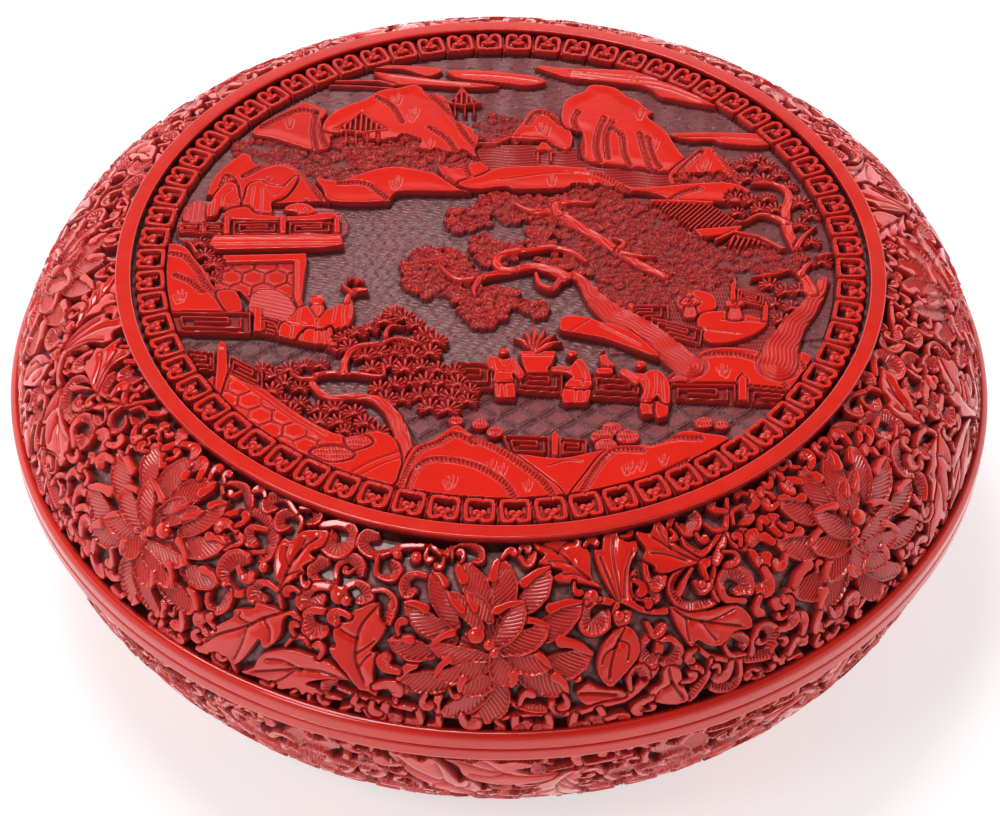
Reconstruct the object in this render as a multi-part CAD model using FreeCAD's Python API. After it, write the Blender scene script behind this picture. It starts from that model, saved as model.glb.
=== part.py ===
import FreeCAD, Part
import math
import os

# A round covered box in carved red lacquer on a turned wooden core.
# Lengths are in millimetres. +Z is up and the origin is on the floor, under
# the centre of the foot ring. The lid and the base meet at the seam plane.
# Every wall is a set of layers round one arc: red coat, ground, wood, lining.

# --- Driving sizes of the whole box
lip_crest_radius = 190.0
foot_height = 6.0
base_depth = 75.0

# --- The two plain rounded lips at the mouth
lip_height = 7.0
lip_stand = 2.6
lip_far_round = 2.6
lip_seam_round = 1.3

# --- The layers of each wall, from the outside inward
coat_thickness = 6.0
ground_thickness = 1.2
core_thickness = 8.0
lining_thickness = 0.8

# --- The lid's quarter-round shoulder and its round picture panel
shoulder_radius = 56.0
shoulder_width = 45.4
rim_width = 5.75
medallion_drop = 0.8

# --- The base's bowl, its floor board and its foot. The bowl's circle would
# --- run on below the underside by the bowl's drop.
bowl_drop = 23.0
floor_board_thickness = 9.0
foot_inset = 7.7
foot_width = 9.0
foot_edge_round = 1.2
underside_coat_thickness = 0.9

# --- The tongue inside the mouth of the base, which guides the lid
tongue_thickness = 3.2
tongue_rise = 9.0
tongue_seat_depth = 18.0
tongue_tip_round = 1.0
tongue_bite = 1.2
mouth_clearance = 0.4
tongue_top_clearance = 1.0

# --- The carving. The coats keep their full level on its main forms and are
# --- cut down between them. The picture's floor has a bed of lacquer below.
scroll_depth = 4.7
picture_depth = 4.2
picture_bed = 2.5
border_width = 13.2
border_groove = 1.6
carving_overrun = 2.0
form_bite = 0.5

# --- How far the picture's forms stay below its border
near_drop = 0.5
far_drop = 1.0
crown_drop = 1.9

# --- The scroll round the lid's shoulder and round the base
flower_count = 8
petal_count = 12
flower_margin = 1.0
petal_length = 13.0
leaf_root = 5.0
leaf_margin = 5.5
lid_flower_angle = -90
base_flower_angle = -67.5

# --- The small figures in the picture
figure_height = 24.0
figure_width = 10.0

# --- Places worked out from the sizes above
seam_height = foot_height + base_depth
wall_edge_radius = lip_crest_radius - lip_stand
medallion_radius = lip_crest_radius - shoulder_width
bowl_radius = base_depth + bowl_drop
shoulder_center = wall_edge_radius - math.sqrt(shoulder_radius ** 2 - lip_height ** 2)
bowl_center = wall_edge_radius - math.sqrt(bowl_radius ** 2 - lip_height ** 2)
medallion_top = seam_height + shoulder_radius - coat_thickness + picture_bed + picture_depth
rim_top = medallion_top + medallion_drop
medallion_edge = medallion_radius - rim_width
floor_top = foot_height + floor_board_thickness
border_radius = medallion_edge - border_groove
picture_radius = border_radius - border_width

# --- Outlines of the picture's forms, from its centre, as shares of its
# --- radius: x to the right, y toward the back.
far_outline_shares = [
    # long clouds
    [(-0.42, 0.88), (-0.3, 0.92), (-0.2, 0.9), (-0.04, 0.83), (-0.2, 0.81), (-0.36, 0.83)],
    [(-0.18, 0.89), (0, 0.89), (0.13, 0.86), (0.1, 0.82), (-0.08, 0.84)],
    [(0.12, 0.92), (0.3, 0.91), (0.47, 0.87), (0.59, 0.79), (0.66, 0.72), (0.52, 0.76), (0.42, 0.83),
     (0.25, 0.87)],
    # hills beyond the water, from left to right
    [(-0.79, 0.57), (-0.7, 0.68), (-0.62, 0.72), (-0.57, 0.66), (-0.59, 0.49), (-0.7, 0.54)],
    [(-0.57, 0.6), (-0.54, 0.67), (-0.44, 0.74), (-0.29, 0.81), (-0.2, 0.74), (-0.08, 0.56), (-0.1, 0.49),
     (-0.25, 0.49), (-0.4, 0.55)],
    [(0.04, 0.58), (0.12, 0.7), (0.18, 0.65), (0.21, 0.56), (0.14, 0.55)],
    [(0.2, 0.62), (0.2, 0.73), (0.27, 0.79), (0.32, 0.83), (0.38, 0.8), (0.5, 0.64), (0.56, 0.46), (0.52, 0.41),
     (0.3, 0.45), (0.26, 0.56)],
    [(0.53, 0.39), (0.57, 0.44), (0.64, 0.51), (0.7, 0.44), (0.73, 0.38), (0.63, 0.35)],
    [(-0.89, 0.26), (-0.87, 0.37), (-0.81, 0.46), (-0.68, 0.42), (-0.61, 0.36), (-0.5, 0.26), (-0.7, 0.23)],
    # the far shore
    [(-0.57, 0.33), (-0.47, 0.34), (-0.35, 0.4), (-0.24, 0.37), (-0.1, 0.33), (0.02, 0.39), (0.14, 0.41),
     (0.3, 0.37), (0.42, 0.32), (0.6, 0.34), (0.75, 0.33), (0.7, 0.26), (0.52, 0.26), (0.35, 0.29),
     (0.1, 0.3), (-0.12, 0.28), (-0.3, 0.28), (-0.4, 0.23), (-0.53, 0.25)],
]
crown_outline_shares = [
    # trees on the left shore
    [(-0.84, 0.51), (-0.75, 0.56), (-0.6, 0.52), (-0.3, 0.56), (-0.1, 0.52), (-0.09, 0.43), (-0.25, 0.4),
     (-0.45, 0.37), (-0.6, 0.42), (-0.75, 0.43)],
    # crown of the great tree
    [(-0.3, -0.04), (-0.22, 0.04), (-0.12, 0.02), (-0.17, 0.14), (-0.12, 0.22), (-0.04, 0.29), (0.1, 0.32),
     (0.3, 0.34), (0.44, 0.27), (0.55, 0.15), (0.72, 0.08), (0.85, 0.04), (0.84, -0.06), (0.7, -0.12),
     (0.45, -0.2), (0.3, -0.12), (0.18, -0.12), (0.12, -0.25), (0, -0.27), (-0.08, -0.31), (-0.14, -0.21),
     (-0.27, -0.15)],
    # tree at the right edge
    [(0.68, 0.3), (0.72, 0.45), (0.8, 0.5), (0.88, 0.42), (0.94, 0.25), (0.93, 0.08), (0.86, 0.1), (0.8, 0.22)],
    # upper and lower crown of the pine
    [(-0.49, -0.37), (-0.42, -0.31), (-0.31, -0.23), (-0.2, -0.31), (-0.15, -0.4), (-0.08, -0.49),
     (-0.07, -0.61), (-0.15, -0.67), (-0.28, -0.62), (-0.39, -0.56), (-0.42, -0.46)],
    [(-0.69, -0.49), (-0.6, -0.45), (-0.5, -0.47), (-0.5, -0.58), (-0.34, -0.67), (-0.3, -0.75),
     (-0.42, -0.75), (-0.54, -0.68), (-0.65, -0.6)],
]
near_outline_shares = [
    # rocks beside the terrace
    [(-1.02, 0.02), (-0.95, 0.01), (-0.88, -0.11), (-0.8, -0.17), (-0.75, -0.26), (-0.85, -0.3),
     (-0.97, -0.29)],
    # robed visitor on the shore
    [(-0.64, -0.36), (-0.6, -0.24), (-0.53, -0.18), (-0.47, -0.22), (-0.43, -0.12), (-0.41, -0.18),
     (-0.45, -0.34), (-0.5, -0.41), (-0.58, -0.39)],
    # paved path and the pine's foot
    [(-0.84, -0.58), (-0.76, -0.54), (-0.62, -0.63), (-0.45, -0.75), (-0.33, -0.76), (-0.27, -0.83),
     (-0.3, -0.98), (-0.5, -0.92), (-0.72, -0.76)],
    [(-0.44, -0.61), (-0.36, -0.59), (-0.3, -0.65), (-0.25, -0.76), (-0.24, -0.85), (-0.29, -0.84),
     (-0.32, -0.73), (-0.37, -0.65)],
    # rocks at the front
    [(-0.26, -0.99), (-0.25, -0.86), (-0.2, -0.78), (-0.12, -0.72), (0, -0.77), (0.1, -0.84), (0.2, -0.84),
     (0.3, -0.79), (0.42, -0.79), (0.52, -0.74), (0.65, -0.77), (0.5, -0.92), (0.2, -1.03), (-0.05, -1.05)],
    # trunk of the great tree and the rock beside it
    [(0.2, -0.08), (0.27, -0.09), (0.36, -0.2), (0.48, -0.33), (0.58, -0.43), (0.58, -0.5), (0.5, -0.5),
     (0.4, -0.37), (0.29, -0.28), (0.24, -0.18)],
    [(0.17, -0.31), (0.22, -0.27), (0.32, -0.29), (0.42, -0.37), (0.45, -0.44), (0.34, -0.38)],
    # mound and trunk at the right edge
    [(0.5, -0.51), (0.58, -0.43), (0.7, -0.4), (0.82, -0.42), (0.9, -0.44), (0.86, -0.54), (0.68, -0.54)],
    [(0.93, -0.09), (0.97, -0.12), (0.9, -0.25), (0.86, -0.4), (0.85, -0.5), (0.78, -0.51), (0.74, -0.46),
     (0.77, -0.35), (0.86, -0.21)],
    # flat rock with two figures
    [(0.57, -0.29), (0.64, -0.25), (0.74, -0.26), (0.76, -0.3), (0.7, -0.36), (0.6, -0.37)],
]
building_outline_shares = [
    # terrace, its wall and the rail below
    [(-0.96, 0.07), (-0.95, 0.17), (-0.5, 0.17), (-0.47, 0.02), (-0.86, 0.01), (-0.86, 0.06)],
    [(-0.83, -0.03), (-0.58, -0.02), (-0.59, -0.25), (-0.66, -0.3), (-0.74, -0.26), (-0.84, -0.14)],
    [(-0.93, -0.27), (-0.7, -0.25), (-0.7, -0.36), (-0.91, -0.35)],
    # rail along the shore and the planter
    [(-0.15, -0.47), (0.02, -0.48), (0.25, -0.52), (0.84, -0.56), (0.8, -0.62), (0.5, -0.6), (-0.06, -0.58)],
    [(0.06, -0.42), (0.17, -0.42), (0.15, -0.51), (0.08, -0.51)],
    # roofs of the halls
    [(0.47, 0.26), (0.66, 0.26), (0.73, 0.18), (0.72, 0.13), (0.6, 0.1), (0.54, 0.15)],
]
figure_feet_shares = [(0.02, -0.6), (0.22, -0.62), (0.33, -0.5), (0.44, -0.68)]
# A figure's robe and head, up from its feet: the first share is of its
# width and the second of its height.
figure_outline_shares = [(-0.4, 0), (0.4, 0), (0.28, 0.4), (0.5, 0.55), (0.28, 0.78), (0.18, 0.97),
                         (-0.18, 0.97), (-0.28, 0.78), (-0.5, 0.55), (-0.28, 0.4)]

# --- A leaf's outline from its stalk to its tip, as shares of its length.
leaf_outline_shares = [(0, 0.03), (0.26, 0.2), (0.4, 0.14), (0.6, 0.3), (1, 0), (0.6, -0.3), (0.4, -0.14),
                       (0.26, -0.2), (0, -0.03)]
# --- The ways that the leaves between two flowers point, in degrees.
leaf_turns = [96, 35, -35, -90, -146, 150]
# --- How far up the band the centres are, as shares of its height.
flower_height_share = 0.5
leaf_height_share = 0.5


class Wall:
    """The curved layers of one half: circles round one centre at the seam."""

    def __init__(self, center, radius, side):
        self.center = center
        self.coat = radius
        self.ground = radius - coat_thickness
        self.core = self.ground - ground_thickness
        self.lining = self.core - core_thickness
        self.inside = self.lining - lining_thickness
        self.side = side

    def radius_at(self, layer, height):
        """Distance from the box's axis to a layer at a height, up to its crown."""
        reach_squared = layer ** 2 - (height - seam_height) ** 2
        return self.center + math.sqrt(max(reach_squared, 0))

    def arc(self, layer, start_height, end_height):
        """The arc of a layer between two heights."""
        middle_height = (start_height + end_height) / 2
        start = point(self.radius_at(layer, start_height), start_height)
        middle = point(self.radius_at(layer, middle_height), middle_height)
        end = point(self.radius_at(layer, end_height), end_height)
        return Part.Arc(start, middle, end).toShape()

    def crown(self, layer):
        """Height at which a layer turns level."""
        return seam_height + self.side * layer


def point(radius, height):
    return FreeCAD.Vector(radius, 0, height)


def line(start, end):
    return Part.makeLine(start, end)


def corner(center, start, end):
    """A quarter round about a centre, from one point to another."""
    direction = (start - center) + (end - center)
    middle = center + direction.normalize() * (start - center).Length
    return Part.Arc(start, middle, end).toShape()


def revolve(edges):
    """Turns a closed outline in the XZ plane round the box's axis."""
    face = Part.Face(Part.Wire(edges))
    return face.revolve(point(0, 0), vertical, 360)


def closed_outline(edges):
    """Joins arcs and lines, in order, with straight lines where ends differ."""
    outline = []
    for edge, following in zip(edges, edges[1:] + edges[:1]):
        outline.append(edge)
        end = edge.valueAt(edge.LastParameter)
        start = following.valueAt(following.FirstParameter)
        if end.distanceToPoint(start) > same_point:
            outline.append(line(end, start))
    return outline


def disc(radius, bottom, height):
    return Part.makeCylinder(radius, height, point(0, bottom))


def ring(inner_radius, outer_radius, bottom, height):
    outer = disc(outer_radius, bottom, height)
    return outer.cut(disc(inner_radius, bottom, height))


def shell(wall, outer_layer, inner_layer, start_height, end_height):
    """A wall's slice between two layers and two heights."""
    outer = wall.arc(outer_layer, start_height, end_height)
    inner = wall.arc(inner_layer, end_height, start_height)
    return revolve(closed_outline([outer, inner]))


def dome(wall, layer):
    """All that lies inside a layer, from the seam to where it turns level."""
    side = wall.arc(layer, seam_height, wall.crown(layer))
    axis = line(point(0, wall.crown(layer)), point(0, seam_height))
    return revolve(closed_outline([side, axis]))


def lip(wall):
    """A plain rounded lip: it stands out past the coat beside it."""
    far = seam_height + wall.side * lip_height
    far_bend = far - wall.side * lip_far_round
    seam_bend = seam_height + wall.side * lip_seam_round
    far_edge = lip_crest_radius - lip_far_round
    seam_edge = lip_crest_radius - lip_seam_round
    inner = wall.arc(wall.ground, seam_height, far)
    outer_round = corner(point(far_edge, far_bend), point(far_edge, far), point(lip_crest_radius, far_bend))
    seam_round = corner(point(seam_edge, seam_bend), point(lip_crest_radius, seam_bend),
                        point(seam_edge, seam_height))
    return revolve(closed_outline([inner, outer_round, seam_round]))


# --- The carving's forms

def standing(outline, rise):
    """A form with straight sides along its rise."""
    face = Part.Face(Part.makePolygon(outline + outline[:1]))
    return face.extrude(rise)


def picture_forms():
    """The picture's main forms, from its floor up to their levels."""
    floor = medallion_top - picture_depth

    def form(outline, drop):
        points = [FreeCAD.Vector(x, y, floor) for x, y in outline]
        return standing(points, FreeCAD.Vector(0, 0, picture_depth - drop))

    forms = []
    for outlines, drop in ((far_outline_shares, far_drop), (building_outline_shares, far_drop),
                           (crown_outline_shares, crown_drop), (near_outline_shares, near_drop)):
        for shares in outlines:
            forms.append(form([(x * picture_radius, y * picture_radius) for x, y in shares], drop))
    for foot_x, foot_y in figure_feet_shares:
        outline = [(foot_x * picture_radius + x * figure_width, foot_y * picture_radius + y * figure_height)
                   for x, y in figure_outline_shares]
        forms.append(form(outline, 0))
    return forms


class Scroll:
    """The flowers and leaves that stand in one wall's coat."""

    def __init__(self, wall, far_angle, first_angle):
        self.wall = wall
        self.near_angle = math.asin(lip_height / wall.coat)
        self.height = (far_angle - self.near_angle) * wall.coat
        self.first_angle = first_angle
        self.step = 360 / flower_count
        self.gap = math.radians(self.step) * self.radius_at(self.height / 2)
        self.flower_radius = self.height / 2 - flower_margin
        self.leaf_length = self.gap / 2 - self.flower_radius - leaf_margin

    def radius_at(self, up):
        """Distance from the box's axis to the coat at a height of the band."""
        return self.wall.center + self.wall.coat * math.cos(self.near_angle + up / self.wall.coat)

    def form(self, outline, up, turn):
        """A form with its sides square to the coat at a height of the band."""
        angle = self.near_angle + up / self.wall.coat
        outward = FreeCAD.Vector(math.cos(angle), 0, self.wall.side * math.sin(angle))
        upward = FreeCAD.Vector(-math.sin(angle), 0, self.wall.side * math.cos(angle))
        across = FreeCAD.Vector(0, 1, 0)
        root = point(self.wall.center, seam_height) + outward * (self.wall.coat / 2)
        right = across * math.cos(turn) + upward * math.sin(turn)
        left = upward * math.cos(turn) - across * math.sin(turn)
        points = [root + right * x + left * y for x, y in outline]
        return standing(points, outward * self.wall.coat)

    def flower(self, side):
        """A flower on one of the two meridians that a sector lies between."""
        outline = []
        for half_petal in range(petal_count * 2):
            reach = self.flower_radius - petal_length * (half_petal % 2)
            angle = math.pi * half_petal / petal_count
            outline.append((reach * math.cos(angle), reach * math.sin(angle)))
        up = self.height * flower_height_share
        return self.form(outline, up, 0).rotated(point(0, 0), vertical, side * self.step / 2)

    def leaf(self, turn):
        """A leaf that points away from the middle between two flowers."""
        outline = [(leaf_root + x * self.leaf_length, y * self.leaf_length) for x, y in leaf_outline_shares]
        return self.form(outline, self.height * leaf_height_share, math.radians(turn))

    def carved(self, kept):
        """The coat outside what is kept free, cut down between its forms."""
        floor_layer = self.wall.coat - scroll_depth
        floor = dome(self.wall, floor_layer).cut([dome(self.wall, self.wall.ground)] + kept)
        skin = dome(self.wall, self.wall.coat).cut([dome(self.wall, floor_layer - form_bite)] + kept)
        sector = Part.makeCylinder(lip_crest_radius, rim_top, point(0, 0), vertical, self.step)
        sector.rotate(point(0, 0), vertical, -self.step / 2)
        forms = [self.flower(-1), self.flower(1)] + [self.leaf(turn) for turn in leaf_turns]
        carved_sector = floor.common(sector).fuse([form.common(skin).common(sector) for form in forms])
        sectors = [carved_sector.rotated(point(0, 0), vertical, self.first_angle + self.step * (number + 0.5))
                   for number in range(flower_count)]
        return sectors[0].fuse(sectors[1:]).removeSplitter()


# --- The base, from the floor upward

def foot_ring():
    foot = ring(foot_inner_radius, foot_outer_radius, 0, foot_height)
    floor_edges = [edge for edge in foot.Edges if abs(edge.CenterOfMass.z) < same_point
                   and isinstance(edge.Curve, Part.Circle)]
    return foot.makeFillet(foot_edge_round, floor_edges)


def base_underside_coat():
    bottom = foot_height - underside_coat_thickness
    return disc(foot_inner_radius, bottom, underside_coat_thickness)


def base_floor_board():
    """The board fills the bowl's bottom and follows its inner slope."""
    edge = bowl.arc(bowl.lining, foot_height, floor_top)
    return revolve(closed_outline([edge, line(point(0, floor_top), point(0, foot_height))]))


def base_core_wall():
    """The turned wall, with a step at the mouth that holds the tongue."""
    wall = shell(bowl, bowl.core, bowl.lining, foot_height, seam_height)
    step = disc(tongue_outer_radius, seam_height - tongue_seat_depth, tongue_seat_depth)
    return wall.cut(step)


def base_ground_layer():
    return shell(bowl, bowl.ground, bowl.core, foot_height, seam_height)


def base_side_coat():
    """The coat of the side, with its scroll."""
    beside_lip = disc(lip_crest_radius, seam_height - lip_height, lip_height)
    below_foot = disc(lip_crest_radius, foot_height - bowl_radius, bowl_radius)
    return base_scroll.carved([beside_lip, below_foot])


def base_lip():
    return lip(bowl)


def base_mouth_tongue():
    """A thin standing ring with its upper edges eased."""
    bottom = seam_height - tongue_seat_depth
    height = tongue_seat_depth + tongue_rise
    tongue = ring(tongue_inner_radius, tongue_outer_radius, bottom, height)
    tip_edges = [edge for edge in tongue.Edges if abs(edge.CenterOfMass.z - bottom - height) < same_point
                 and isinstance(edge.Curve, Part.Circle)]
    return tongue.makeFillet(tongue_tip_round, tip_edges)


def base_lining():
    """Black lacquer over the inside, from the tongue down across the floor."""
    top = seam_height - tongue_seat_depth
    outer = bowl.arc(bowl.lining, floor_top, top)
    inner = bowl.arc(bowl.inside, top, floor_top + lining_thickness)
    axis = line(point(0, floor_top + lining_thickness), point(0, floor_top))
    return revolve(closed_outline([outer, inner, axis]))


# --- The lid, from the seam upward

def lid_lip():
    return lip(shoulder)


def lid_core_wall():
    """The turned shoulder, with a step inside that clears the tongue."""
    outer = shoulder.arc(shoulder.core, seam_height, shoulder.crown(shoulder.core))
    inner = shoulder.arc(shoulder.lining, shoulder.crown(shoulder.lining), seam_height)
    wall = revolve(closed_outline([outer, inner]))
    return wall.cut(disc(tongue_outer_radius + mouth_clearance, seam_height, lid_step_height))


def lid_core_panel():
    return disc(shoulder.center, shoulder.crown(shoulder.lining), core_thickness)


def lid_ground_layer():
    return dome(shoulder, shoulder.ground).cut(dome(shoulder, shoulder.core))


def lid_lining():
    """Black lacquer under the panel and down to the step in the wall."""
    lining = dome(shoulder, shoulder.lining).cut(dome(shoulder, shoulder.inside))
    return lining.cut(disc(lip_crest_radius, seam_height, lid_step_height))


def lid_shoulder_coat():
    """The coat of the shoulder, with its scroll."""
    beside_lip = disc(lip_crest_radius, seam_height, lip_height)
    under_medallion = disc(medallion_radius, seam_height, shoulder_radius)
    return lid_scroll.carved([beside_lip, under_medallion])


def lid_medallion_rim():
    """The plain raised ring round the picture panel."""
    rim = ring(medallion_edge, medallion_radius, seam_height, rim_top - seam_height)
    return rim.cut(dome(shoulder, shoulder.ground))


def lid_medallion_coat():
    """The coat of the picture panel: a border, and the picture inside it."""
    coat = disc(medallion_edge, seam_height, medallion_top - seam_height)
    floor = medallion_top - picture_depth
    field = disc(picture_radius, floor, picture_depth + carving_overrun)
    groove = ring(border_radius, medallion_edge + carving_overrun, floor, picture_depth + carving_overrun)
    return coat.cut([dome(shoulder, shoulder.ground), field.cut(picture_forms()), groove])


# Two points nearer than this are one point.
same_point = 1e-6
vertical = FreeCAD.Vector(0, 0, 1)

shoulder = Wall(shoulder_center, shoulder_radius, 1)
bowl = Wall(bowl_center, bowl_radius, -1)
lid_scroll = Scroll(shoulder, math.acos((medallion_radius - shoulder_center) / shoulder_radius),
                    lid_flower_angle)
base_scroll = Scroll(bowl, math.asin(base_depth / bowl_radius), base_flower_angle)
foot_outer_radius = bowl.radius_at(bowl.coat, foot_height) - foot_inset
foot_inner_radius = foot_outer_radius - foot_width
tongue_outer_radius = min(shoulder.radius_at(shoulder.lining, seam_height),
                          bowl.radius_at(bowl.lining, seam_height)) + tongue_bite
tongue_inner_radius = tongue_outer_radius - tongue_thickness
lid_step_height = tongue_rise + tongue_top_clearance

base_pieces = [foot_ring, base_underside_coat, base_floor_board, base_core_wall, base_ground_layer,
               base_side_coat, base_lip, base_mouth_tongue, base_lining]
lid_pieces = [lid_lip, lid_core_wall, lid_core_panel, lid_ground_layer, lid_lining,
              lid_shoulder_coat, lid_medallion_rim, lid_medallion_coat]

os.makedirs("parts", exist_ok=True)
for piece in base_pieces + lid_pieces:
    piece().exportStep("parts/" + piece.__name__ + ".step")
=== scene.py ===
import bpy
import math
import numpy as np
from mathutils import Matrix, Vector


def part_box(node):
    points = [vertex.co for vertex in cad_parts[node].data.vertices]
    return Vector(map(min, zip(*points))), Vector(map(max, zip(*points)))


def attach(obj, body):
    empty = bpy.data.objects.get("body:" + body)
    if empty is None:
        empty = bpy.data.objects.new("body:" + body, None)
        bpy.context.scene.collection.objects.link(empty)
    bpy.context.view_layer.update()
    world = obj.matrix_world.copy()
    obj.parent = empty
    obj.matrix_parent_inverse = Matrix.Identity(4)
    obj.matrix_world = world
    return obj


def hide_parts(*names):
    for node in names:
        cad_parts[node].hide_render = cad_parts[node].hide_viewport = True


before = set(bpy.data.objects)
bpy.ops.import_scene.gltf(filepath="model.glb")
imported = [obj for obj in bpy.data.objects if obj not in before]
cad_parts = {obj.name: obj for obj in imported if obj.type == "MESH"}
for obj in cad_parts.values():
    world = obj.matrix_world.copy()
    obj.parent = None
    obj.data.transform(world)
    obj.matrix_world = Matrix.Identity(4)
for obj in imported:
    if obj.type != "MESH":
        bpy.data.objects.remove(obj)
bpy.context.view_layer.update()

# ---------------------------------------------------------------- sizes, in millimetres
MM = 0.001


def node_box(name):
    """Lowest and highest corner of a CAD node in millimetres."""
    low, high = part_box(name)
    return np.array(low) / MM, np.array(high) / MM


lip_low, lip_high = node_box("lid_lip")
rim_low, rim_high = node_box("lid_medallion_rim")
seam_z = lip_low[2]
crest_radius = lip_high[0]
lip_height = lip_high[2] - lip_low[2]
rim_radius = rim_high[0]
rim_z = rim_high[2]
medallion_radius = node_box("lid_medallion_coat")[1][0]
medallion_z = node_box("lid_medallion_coat")[1][2]
coat_foot_z = node_box("base_side_coat")[0][2]
lip_stand = 2.6
wall_edge = crest_radius - lip_stand
# the curve of each carved wall: the radius of its arc, and how far its centre is from the axis
shoulder_arc = 56.0
bowl_arc = 98.0
shoulder_center = wall_edge - math.sqrt(shoulder_arc ** 2 - lip_height ** 2)
bowl_center = wall_edge - math.sqrt(bowl_arc ** 2 - lip_height ** 2)

# how far the ground lies below the uncarved level
ground_depth = 4.7
# cells of the three height maps, and how many of them the edge of a form is soft over
fine_cell = 0.33
band_cell = 0.34
base_cell = 0.5
edge_cells = 1.1

# ---------------------------------------------------------------- the photograph's camera
photo_width, photo_height = 1000, 816
focal_pixels = 2400.0
# places traced on the picture lie this far below its uncarved level
traced_depth = 1.0
camera_back = 678.7
camera_above_seam = 659.0
camera_aside = 0.4
camera_pitch = math.radians(45.31)
camera_roll = math.radians(0.746)


def camera_axes():
    """Right, up and forward of the photograph's camera, and its place."""
    forward = np.array([0.0, math.cos(camera_pitch), -math.sin(camera_pitch)])
    level = np.array([1.0, 0.0, 0.0])
    rise = np.cross(level, forward)
    right = level * math.cos(camera_roll) + rise * math.sin(camera_roll)
    up = np.cross(right, forward)
    place = np.array([camera_aside, -camera_back, seam_z + camera_above_seam])
    return right, up, forward, place


def photo_rays(points):
    """Lines of sight through pixels of the photograph, and the camera's place."""
    right, up, forward, place = camera_axes()
    pixels = np.array(points, float).reshape(-1, 2)
    rays = (forward * focal_pixels + (pixels[:, :1] - photo_width / 2) * right
            - (pixels[:, 1:] - photo_height / 2) * up)
    return rays, place


def from_photo(points):
    """Pixels of the photograph, carried onto the lid's picture as millimetres."""
    rays, place = photo_rays(points)
    reach = (medallion_z - traced_depth - place[2]) / rays[:, 2]
    return (place + rays * reach[:, None])[:, :2]


# ---------------------------------------------------------------- the carver's tools
def smooth_path(points, steps, closed=False):
    """A curve through given points, with this many straight pieces between two of them."""
    p = np.array(points, float)
    if len(p) < 3:
        return p
    if closed:
        p = np.vstack([p[-1:], p, p[:2]])
    else:
        p = np.vstack([2 * p[0] - p[1], p, 2 * p[-1] - p[-2]])
    t = np.linspace(0, 1, steps, endpoint=False)[:, None]
    pieces = []
    for a, b, c, d in zip(p[:-3], p[1:-2], p[2:-1], p[3:]):
        pieces.append(0.5 * (2 * b + (c - a) * t + (2 * a - 5 * b + 4 * c - d) * t ** 2
                             + (3 * b - a - 3 * c + d) * t ** 3))
    if not closed:
        pieces.append(p[-2:-1])
    return np.vstack(pieces)


def turn(points, angle, place):
    """Points turned by an angle in radians and moved to a place."""
    c, s = math.cos(angle), math.sin(angle)
    p = np.array(points, float).reshape(-1, 2)
    return np.stack([place[0] + c * p[:, 0] - s * p[:, 1], place[1] + s * p[:, 0] + c * p[:, 1]], 1)


def ease(value, low, high):
    """0 below low, 1 above high, smooth between."""
    t = np.clip((value - low) / (high - low), 0, 1)
    return t * t * (3 - 2 * t)


class Panel:
    """A height map of carved lacquer, in millimetres, where 0 is the uncarved
    level. One that loops joins its own other side, as a band round the box does."""

    def __init__(self, low, high, cell, loops=False):
        self.low = low
        self.cell = cell
        self.loops = loops
        self.columns = int(round((high[0] - low[0]) / cell)) + (0 if loops else 1)
        self.rows = int(round((high[1] - low[1]) / cell)) + 1
        if loops:
            self.period = high[0] - low[0]
            self.cell_x = self.period / self.columns
        else:
            self.cell_x = (high[0] - low[0]) / (self.columns - 1)
        self.cell_y = (high[1] - low[1]) / (self.rows - 1)
        self.height = np.full((self.rows, self.columns), -ground_depth, np.float32)

    def window(self, points, margin):
        """Rows, columns and places of the cells near some points."""
        points = np.asarray(points)
        low = points.min(0) - margin
        high = points.max(0) + margin
        first_row = max(int(math.floor((low[1] - self.low[1]) / self.cell_y)), 0)
        last_row = min(int(math.ceil((high[1] - self.low[1]) / self.cell_y)) + 1, self.rows)
        columns = np.arange(int(math.floor((low[0] - self.low[0]) / self.cell_x)),
                            int(math.ceil((high[0] - self.low[0]) / self.cell_x)) + 1)
        if self.loops:
            places = self.low[0] + columns * self.cell_x
            columns = columns % self.columns
        else:
            columns = columns[(columns >= 0) & (columns < self.columns)]
            places = self.low[0] + columns * self.cell_x
        rows = np.arange(first_row, max(last_row, first_row))
        heights = self.low[1] + rows * self.cell_y
        x, y = np.meshgrid(places.astype(np.float32), heights.astype(np.float32))
        return (rows[:, None], columns[None, :]), x, y

    def lay(self, spot, outside, top, level, moat=0.7, moat_depth=1.3):
        """Puts a shape over what is there, and cuts its neighbours back beside it."""
        if outside.size == 0:
            return
        old = self.height[spot]
        if moat > 0:
            cut = level - moat_depth * (1 - np.clip(outside / moat, 0, 1))
            old = np.where(outside < moat, np.minimum(old, cut), old)
        cover = np.clip(0.5 - outside / (self.cell * edge_cells), 0, 1)
        self.height[spot] = old * (1 - cover) + top * cover

    def score(self, path, width, depth):
        """Cuts a fine groove along a path."""
        path = np.asarray(path, float)
        spot, x, y = self.window(path, width)
        _, side, _ = near(x, y, path)
        strength = np.clip(1 - np.abs(side) / width, 0, 1)
        self.height[spot] -= (depth * strength).astype(np.float32)


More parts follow.
